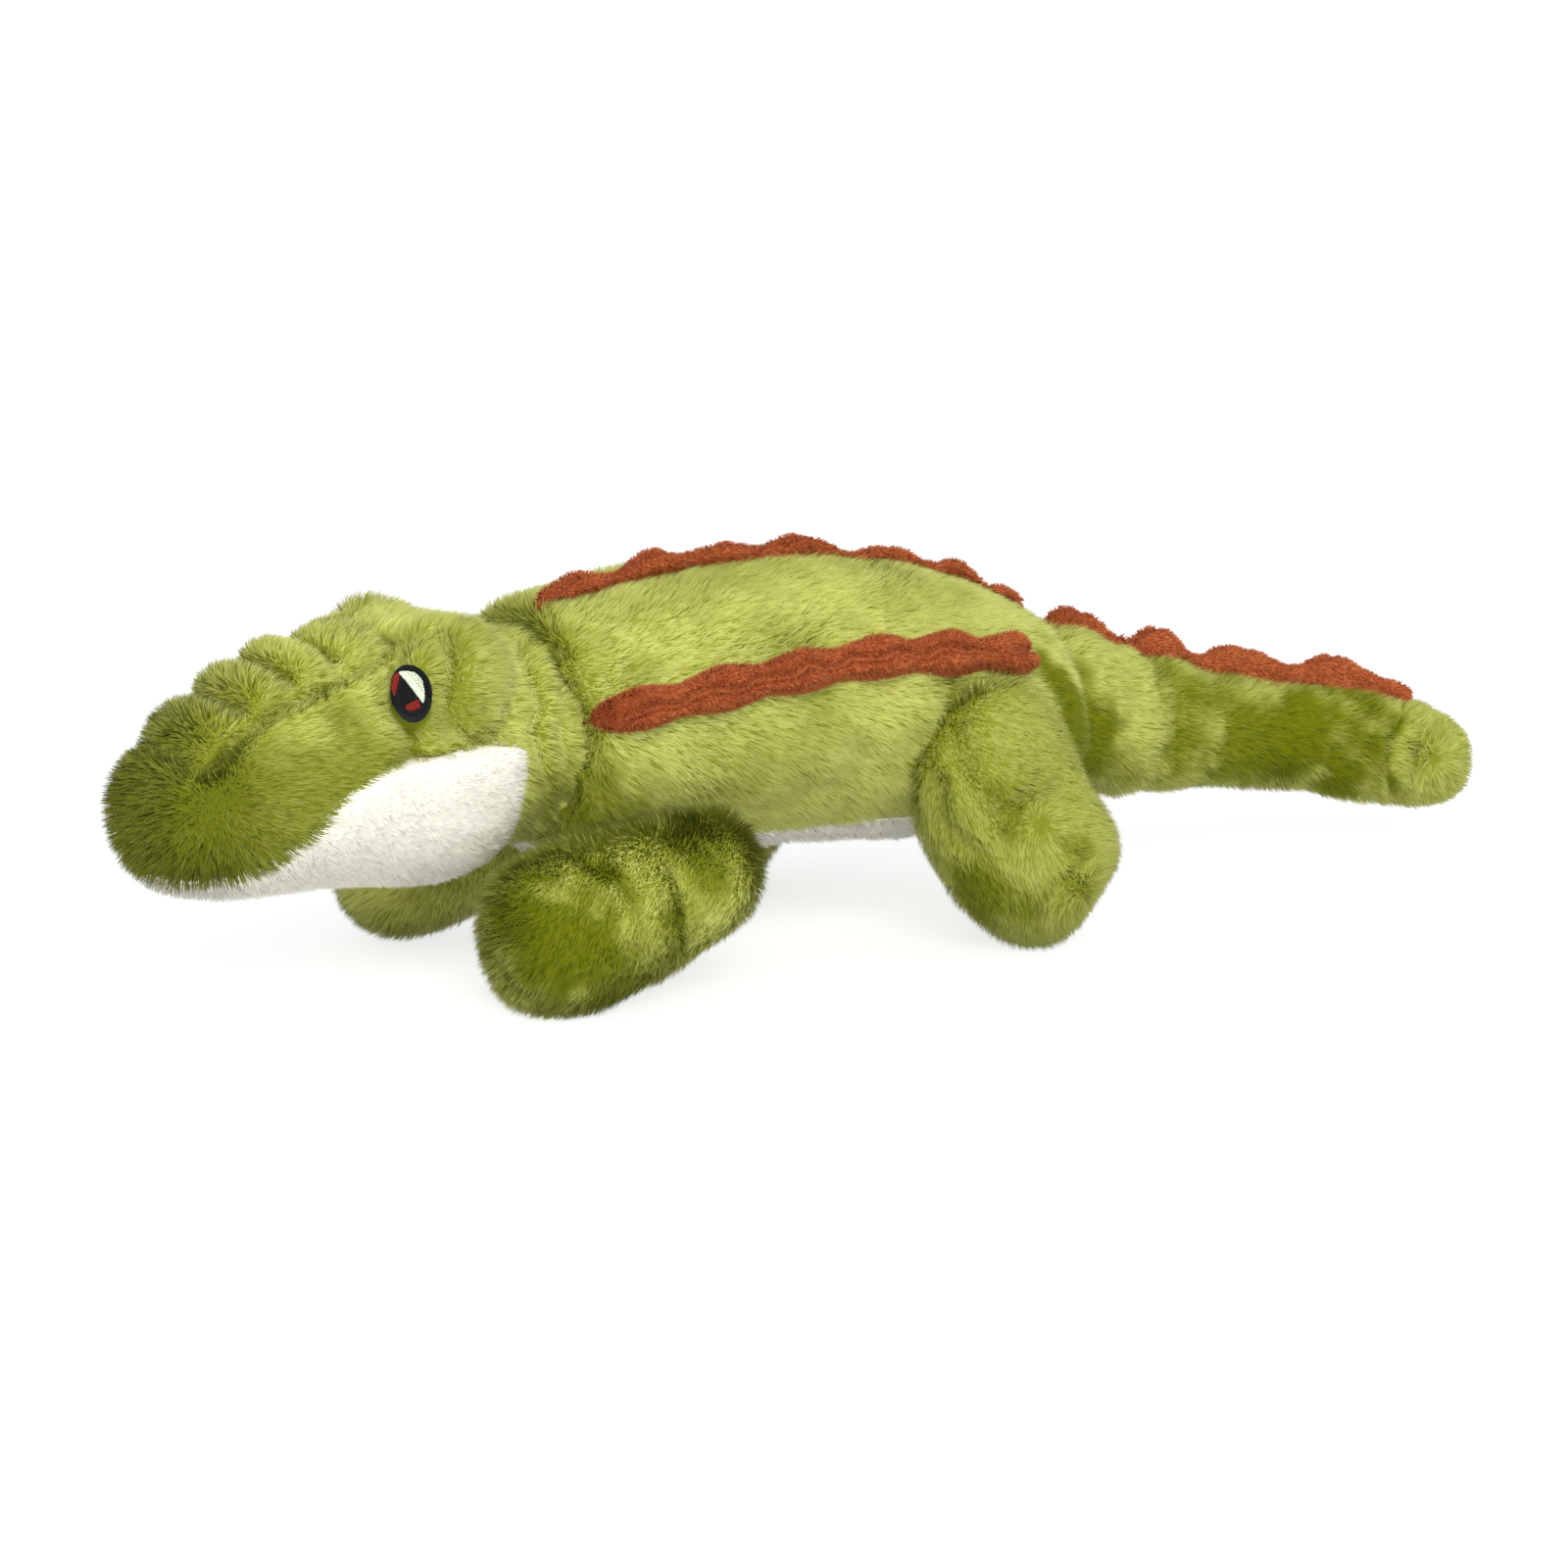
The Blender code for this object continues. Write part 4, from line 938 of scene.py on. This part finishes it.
def leg_bend(leg, hinge):
    """The torso and two places just and further out from a limb's seam, given to sewn_to as the limb's bend.
    """
    out = LEG_OUT[leg.split("_")[0]] * (1, -1 if "left" in leg else 1, 1)
    return "torso", hinge + out * 0.001, hinge + out * 0.015


def combed(way):
    """Pile that is brushed one way all over."""
    return lambda points: np.tile(way, (len(points), 1))


PAW_SEAMS = {
    "front_left_leg": ((496, 915), (496, 955), (512, 992), (545, 1020), (592, 1034)),
    "front_right_leg": ((352, 905), (356, 930), (380, 950), (430, 958)),
}
TUCKS = {
    "front_left_leg": (((612, 886), (630, 896), (642, 914)), ((688, 890), (700, 925), (702, 958))),
    "front_right_leg": (),
}
# Patches of painted shade on the front legs, darkest on the paws.
ARM_SHADE_PATCHES = (
    (555, 960, 0.018, 1.1), (640, 990, 0.015, 1.05), (720, 880, 0.011, 0.9), (690, 930, 0.009, 0.9),
    (555, 895, 0.006, 0.6), (400, 940, 0.010, 0.3), (760, 860, 0.008, 0.7),
)

for seed, (leg, ends) in enumerate(FRONT_LINES.items()):
    arm = unit(ends[1] - ends[0])
    limb = stuffed(sewn_shell(leg + "_plush", leg, ends, GREEN_DEPTH), 0.0032)
    paw_seams = [seen_on(limb, *PAW_SEAMS[leg])]
    tucks = [seen_on(limb, *tuck) for tuck in TUCKS[leg]]
    pressed(limb, paw_seams, 0.0014, 0.0026)
    if tucks:
        pressed(limb, tucks, 0.0013, 0.0030)
    limb_pile = pile_on(
        limb, green_pile, GREEN_LENGTH, combed(arm * 0.8 + (0, 0, -0.35)), ("torso", "belly_panel"),
        seams=paw_seams + tucks[:1], shade=pile_shade_patches(limb, *ARM_SHADE_PATCHES, least=0.12), seed=20 + seed,
    )
    sewn_to(leg, limb, limb_pile, leg, leg_bend(leg, ends[0]))

# Rear legs: short stuffed thighs that hang from the hips, with the cloth gathered at the foot, so
# the pile turns out round each gather. The far one is tucked forward under the body.
REAR_LINES = {
    "rear_left_leg": np.array(((0.01208, -0.04596, 0.05127), (0.029, -0.058, 0.0245))),
    "rear_right_leg": np.array(((0.01208, 0.04655, 0.05127), (-0.002, 0.055, 0.0245))),
}
HIP_BACK, HIP_OUT, HIP_UP = 0.006, 0.007, 0.012
FAR_FOOT_AHEAD = 0.010
FAR_WHORL = (-0.008, 0.074, 0.020)
THIGH_FOLDS = (
    ((978, 735), (982, 770), (1000, 812), (1022, 856)),
    ((958, 800), (962, 840), (985, 862), (1003, 872)),
    ((1018, 832), (1050, 815), (1082, 803)),
    ((1075, 955), (1100, 936), (1135, 925)),
)
THIGH_WHORLS = (((1105, 908), 0.012), ((1060, 842), 0.008))
# Patches of painted shade on the rear legs, darkest low on the thigh.
THIGH_SHADE_PATCHES = (
    (1080, 950, 0.011, 1.0), (1135, 870, 0.009, 0.95), (1000, 905, 0.011, 0.95), (1012, 806, 0.004, 0.7),
    (1090, 866, 0.006, 0.8), (1110, 925, 0.006, 0.9), (1035, 850, 0.006, 0.8), (1040, 920, 0.006, 0.8),
    (965, 830, 0.006, 0.5), (1128, 800, 0.007, 0.7), (990, 770, 0.004, 0.5),
)
for seed, (leg, ends) in enumerate(REAR_LINES.items()):
    thigh = unit(ends[1] - ends[0])
    limb = sewn_shell(leg + "_plush", leg, ends, GREEN_DEPTH)
    points = points_of(limb)
    hip = smooth_step((points[:, 2] - 0.042) / 0.022)
    points[:, 0] += hip * (HIP_BACK + (points[:, 0] - ends[0][0]) * 0.25)
    points[:, 1] -= hip * HIP_OUT * np.sign(points[:, 1])
    points[:, 2] += hip * HIP_UP
    if leg == "rear_right_leg":
        points[:, 0] -= FAR_FOOT_AHEAD * smooth_step((0.050 - points[:, 2]) / 0.018)
    place_points(limb, points)
    stuffed(limb, 0.0032)
    folds, whorls = [], [(FAR_WHORL, 0.010)]
    if leg == "rear_left_leg":
        folds = [seen_on(limb, *fold) for fold in THIGH_FOLDS]
        whorls = [(seen_on(limb, pixel)[0], reach) for pixel, reach in THIGH_WHORLS]
        pressed(limb, folds, 0.0020, 0.0034)
    limb_pile = pile_on(
        limb, green_pile, GREEN_LENGTH, combed(thigh * 0.8 + (0.15, 0, -0.1)), ("torso", "belly_panel"),
        seams=folds, whorls=whorls, shade=pile_shade_patches(limb, *THIGH_SHADE_PATCHES, least=0.42), seed=30 + seed,
    )
    sewn_to(leg, limb, limb_pile, leg, leg_bend(leg, ends[0]))

# Tail: two stuffed lengths of green plush joined by a seam, so it bends there. The end is closed
# by a gathering thread, from which the pile turns out all round.
TAIL_SOLIDS = ("tail_base", "tail_tip")
tail_line = middle_line((0.074, 0, 0.05), (0.215, -0.01, 0.03), *TAIL_SOLIDS, steps=12, reach=(-0.02, 0.9))
down_tail = combed((0.85, -0.1, -0.28))
SEAM_PIXELS = ((1150, 668), (1180, 680), (1194, 700), (1196, 730), (1190, 768), (1178, 800))
# Patches of painted shade on the tail's base, darkest where it meets the body.
TAIL_BASE_SHADE_PATCHES = (
    (1092, 720, 0.008, 1.1), (1103, 760, 0.010, 1.15), (1135, 775, 0.007, 0.6), (1088, 690, 0.006, 0.9),
    (1150, 700, 0.005, 0.25),
)
tail_base = stuffed(sewn_shell("tail_base_plush", "tail_base", tail_line, under_pile(tail_line)), 0.003)
tail_seam = [seen_on(tail_base, *((x - 5, y) for x, y in SEAM_PIXELS))]
tail_seam += other_side(tail_base, tail_seam)
pressed(tail_base, tail_seam, 0.0030, 0.0030)
tail_base_pile = pile_on(
    tail_base, green_pile, GREEN_LENGTH * 0.95, down_tail, ("torso", "tail_tip"), seams=tail_seam,
    shade=pile_shade_patches(tail_base, *TAIL_BASE_SHADE_PATCHES, least=0.15), seed=41, parting=0.002,
)
sewn_to(
    "tail_base", tail_base, tail_base_pile, "tail_base",
    ("torso", (0.066, 0, 0.0535), (0.088, 0, 0.0535)),
)

TIP_FOLD = ((1298, 700), (1302, 750), (1296, 790))
GATHER = (1466, 773)
GATHER_REACH, GATHER_TURNS = 24, (0.3, 1.4, 2.3, 3.5, 4.6, 5.5)
GATHER_RIM = ((1432, 730), (1418, 755), (1414, 785), (1424, 808))
# Patches of painted shade along the tail's side.
TAIL_TIP_SHADE_PATCHES = (
    (1212, 742, 0.017, 0.92), (1240, 712, 0.014, 0.85), (1250, 765, 0.015, 1.0), (1285, 750, 0.013, 1.0),
    (1325, 752, 0.014, 1.2), (1365, 757, 0.014, 1.2), (1400, 765, 0.010, 1.1), (1330, 718, 0.009, 0.8),
    (1385, 722, 0.008, 0.9), (1460, 750, 0.004, 0.6), (1485, 805, 0.005, 0.7),
)
tail_tip = stuffed(sewn_shell("tail_tip_plush", "tail_tip", tail_line, under_pile(tail_line)), 0.003)
tail_folds = [seen_on(tail_tip, *((x + 3, y) for x, y in SEAM_PIXELS)), seen_on(tail_tip, *TIP_FOLD)]
tail_folds += other_side(tail_tip, tail_folds)
pressed(tail_tip, tail_folds, 0.0022, 0.0032)
gather = seen_on(tail_tip, GATHER)[0]
gather_folds = []
for turn in GATHER_TURNS:
    rim = (GATHER[0] + GATHER_REACH * cos(turn), GATHER[1] + GATHER_REACH * sin(turn))
    gather_folds.append(seen_on(tail_tip, GATHER, rim))
gather_folds = [fold for fold in gather_folds if len(fold) > 1]
gather_rim = [seen_on(tail_tip, *GATHER_RIM)]
pressed(tail_tip, gather_folds, 0.0016, 0.0022)
pressed(tail_tip, gather_rim, 0.0012, 0.0030)
tail_tip_pile = pile_on(
    tail_tip, green_pile, GREEN_LENGTH * 0.95, down_tail, ("torso", "tail_base"),
    seams=gather_rim + tail_folds[:1] + tail_folds[2:3], whorls=[(gather, 0.011)],
    shade=pile_shade_patches(tail_tip, *TAIL_TIP_SHADE_PATCHES, least=0.36), seed=42,
)
sewn_to(
    "tail_tip", tail_tip, tail_tip_pile, "tail_tip",
    ("tail_base", (0.104, 0, 0.046), (0.121, 0, 0.045)),
)

# Crests: stuffed strips of short rust-brown plush with scalloped edges, sewn to the back, both
# flanks and the top of the tail by a running stitch that furrows each along its middle.
BROWN_LENGTH = 0.0015
# Its ground colour and its last, darker colour are painted shade deep in the pile.
brown_pile = pile_cloth(
    "brown_pile", dyed(140, 66, 34), dyed(186, 95, 52), dyed(212, 124, 78), (0.36, 0.27, 0.20, 1),
    patch_size=0.009, patchy=0.4, sheen=0.08, tones=(0.88, 1.12),
)
CRESTS = {
    "spine_crest": "torso", "left_flank_crest": "torso", "right_flank_crest": "torso",
    "tail_base_crest": "tail_base", "tail_tip_crest": "tail_tip",
}
# How high each strip stands, in millimetres, by the pixel column that shows it.
SCALLOPS = {
    "spine_crest": (
        (548, 3.0), (578, 5.0), (612, 2.6), (653, 6.4), (692, 4.2), (730, 4.4), (775, 2.2), (823, 4.4),
        (868, 1.0), (905, 5.0), (942, 1.4), (977, 7.0), (1000, 1.0), (1038, 5.4), (1052, 2.0),
    ),
    "tail_base_crest": ((1062, 1.0), (1104, 5.4), (1138, 2.2)),
    "tail_tip_crest": (
        (1138, 3.4), (1179, 7.6), (1220, 4.6), (1262, 8.6), (1305, 4.6), (1354, 8.8), (1403, 4.0),
        (1430, 8.2), (1450, 2.4),
    ),
}
# How much further a strip reaches than its solid, so that the ridge's three strips follow closely.
REACH_FORWARD = {"spine_crest": 0.0045, "tail_tip_crest": 0.006}
REACH_BACK = {"tail_base_crest": 0.0028}
# How high a strip's lower edge lies over the skin, in the pile, and the share of its width it keeps.
SEWN_HEIGHT, SEWN_SHARE = 0.0032, 0.8
FURROW_DEPTH, FURROW_WIDTH = 0.0024, 0.0013
CARRIER = np.concatenate([torso_line, tail_line])
SKINS = [tree_of(skin) for skin in (torso, tail_base, tail_tip)]


def skin_top(x, y):
    """How high the uppermost skin is over a place of the floor."""
    hits = [skin.ray_cast(Vector((x, y, 0.2)), Vector((0, 0, -1)))[0] for skin in SKINS]
    return max((hit.z for hit in hits if hit is not None), default=0.03)


def scalloped(strip, crest):
    """Cuts a ridge strip's upper edge to the photograph's waves, and sets it as narrow as it is sewn."""
    points = points_of(strip)
    foot, gap = nearest_on(CARRIER, points)
    low, high = points[:, 0].min(), points[:, 0].max()
    # The strip's lowest and highest places about its carrier's middle, in short steps along it.
    bins = np.linspace(low, high, 60)
    which = np.digitize(points[:, 0], bins[1:-1])
    near = [gap[np.abs(which - i) < 2] for i in range(len(bins) - 1)]
    middles = (bins[:-1] + bins[1:]) / 2
    filled = [i for i, g in enumerate(near) if len(g)]
    bottom = np.interp(points[:, 0], middles[filled], [near[i].min() for i in filled])
    top = np.interp(points[:, 0], middles[filled], [near[i].max() for i in filled])
    at = [column(pixel) for pixel, _ in SCALLOPS[crest]]
    wave = [h * 0.001 for _, h in SCALLOPS[crest]]
    x = points[:, 0] - REACH_FORWARD.get(crest, 0) * smooth_step((low + 0.02 - points[:, 0]) / 0.02)
    x = x + REACH_BACK.get(crest, 0) * smooth_step((points[:, 0] - high + 0.012) / 0.012)
    i = np.clip(np.searchsorted(at, x) - 1, 0, len(at) - 2)
    share = ((x - np.take(at, i)) / (np.take(at, i + 1) - np.take(at, i))).clip(0, 1)
    high_here = np.take(wave, i) + (np.take(wave, i + 1) - np.take(wave, i)) * smooth_step(share)
    up = ((gap - bottom) / np.maximum(top - bottom, 1e-4)).clip(0, 1)
    middle = (points[:, 1].min() + points[:, 1].max()) / 2 if crest == "spine_crest" else foot[:, 1]
    y = middle + (points[:, 1] - middle) * SEWN_SHARE
    ground = np.array([skin_top(*place) for place in zip(x, y)]) + SEWN_HEIGHT
    place_points(strip, np.stack([x, y, ground + up * high_here], 1))


for seed, (crest, body) in enumerate(CRESTS.items()):
    low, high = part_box(crest)
    line = middle_line((low.x, 0, 0.06), (high.x, 0, 0.06), crest, steps=30, reach=(0.01, 0.99))
    strip = sewn_shell(crest + "_plush", crest, line, -0.0004)
    if crest in SCALLOPS:
        applied(strip, "REMESH", "weave", mode="VOXEL", voxel_size=0.0010)
        scalloped(strip, crest)
    points = points_of(strip)
    nearest = np.abs(points[:, :1] - line[:, 0]).argmin(1)
    foot, gap = nearest_on(CARRIER, points)
    if crest in SCALLOPS:
        lowest = [gap[nearest == i].min() if (nearest == i).any() else 0 for i in range(len(line))]
        base = np.array(lowest)[nearest] + 0.0008
    else:
        base = np.linalg.norm(line - nearest_on(CARRIER, line)[0], axis=1)[nearest] + 0.0004
    sunk = 0.0042 * smooth_step((base - gap) / 0.0012)
    place_points(strip, points - unit(points - foot) * sunk[:, None])
    stuffed(strip, 0.0012, swell=0.0004, uneven=0.0003, settle=1)
    outward = unit(line - nearest_on(CARRIER, line)[0])
    outer = tree_of(strip)
    furrow = []
    for at, out in zip(line, outward):
        sideways = np.cross(out, (1, 0, 0)) * 0.0011 * sin(at[0] * 420 + seed)
        hit = outer.ray_cast(Vector(at + sideways + out * 0.02), Vector(-out))[0]
        if hit is not None:
            furrow.append(np.array(hit))
    furrow = [np.array(furrow)]
    pressed(strip, furrow, FURROW_DEPTH, FURROW_WIDTH)
    strip_pile = pile_on(
        strip, brown_pile, BROWN_LENGTH, brushed_back, seams=furrow, seed=50 + seed, width=0.00027,
        density=1.25, lock_size=0.0010, parting=0.0019, lean=0.5,
    )
    sewn_to(body, strip, strip_pile, crest)

# Squeaker: the plastic bulb and its reed, in a pocket of the stuffing over the belly. Both keep
# the frame's own shape, because nothing shows them.
squeaker, nodes, links = new_material("squeaker_plastic")
shader = set_to(nodes["Principled BSDF"], {"Roughness": 0.4})
shades = ((0, dyed(214, 214, 208)), (1, dyed(232, 232, 226)))
links.new(coloured_by(nodes, links, noise(nodes, links, 300), shades), shader.inputs["Base Color"])
for node in ("squeaker_bulb", "squeaker_reed"):
    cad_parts[node].data.materials.clear()
    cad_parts[node].data.materials.append(squeaker)

# Stage: a white floor that keeps the toy's shadow, a soft sky and one wide soft light, high on
# the viewer's left, at a level where a colour renders about as it is written.
LIGHT_FALLS = Vector((0.50, 1.25, -1.00))


def seen_directly(nodes, links):
    """1 for what the camera or a glossy surface sees, 0 for the light that is given."""
    ray = nodes.new("ShaderNodeLightPath")
    either = nodes.new("ShaderNodeMath")
    either.operation = "MAXIMUM"
    links.new(ray.outputs["Is Camera Ray"], either.inputs[0])
    links.new(ray.outputs["Is Glossy Ray"], either.inputs[1])
    return either.outputs[0]


bpy.ops.mesh.primitive_plane_add(size=14, location=(0, 0, 0))
floor = bpy.context.active_object
floor.name = "floor"
white, nodes, links = new_material("sweep_white")
nodes.clear()
shown, lit = nodes.new("ShaderNodeOutputMaterial"), nodes.new("ShaderNodeAddShader")
paper = set_to(nodes.new("ShaderNodeBsdfDiffuse"), {"Color": (0.80, 0.80, 0.80, 1)})
thin_paper = set_to(nodes.new("ShaderNodeBsdfDiffuse"), {"Color": (0.34, 0.34, 0.34, 1)})
glow = set_to(nodes.new("ShaderNodeEmission"), {"Color": (1, 1, 1, 1), "Strength": 0.72})
links.new(thin_paper.outputs[0], lit.inputs[0])
links.new(glow.outputs[0], lit.inputs[1])
either = nodes.new("ShaderNodeMixShader")
links.new(seen_directly(nodes, links), either.inputs[0])
links.new(paper.outputs[0], either.inputs[1])
links.new(lit.outputs[0], either.inputs[2])
links.new(either.outputs[0], shown.inputs["Surface"])
floor.data.materials.append(white)

world = bpy.data.worlds.new("studio")
bpy.context.scene.world = world
world.use_nodes = True
nodes, links = world.node_tree.nodes, world.node_tree.links
sky = set_to(nodes["Background"], {"Color": (1, 1, 1, 1)})
strength = set_to(nodes.new("ShaderNodeMapRange"), {"To Min": 0.88, "To Max": 1.0})
links.new(seen_directly(nodes, links), strength.inputs["Value"])
links.new(strength.outputs[0], sky.inputs["Strength"])

bpy.ops.object.light_add(type="SUN", location=(-0.9, -1.4, 1.9))
key = bpy.context.active_object
key.name = "key"
key.data.energy, key.data.angle = 2.0, radians(35)
key.rotation_euler = LIGHT_FALLS.to_track_quat("-Z", "Y").to_euler()
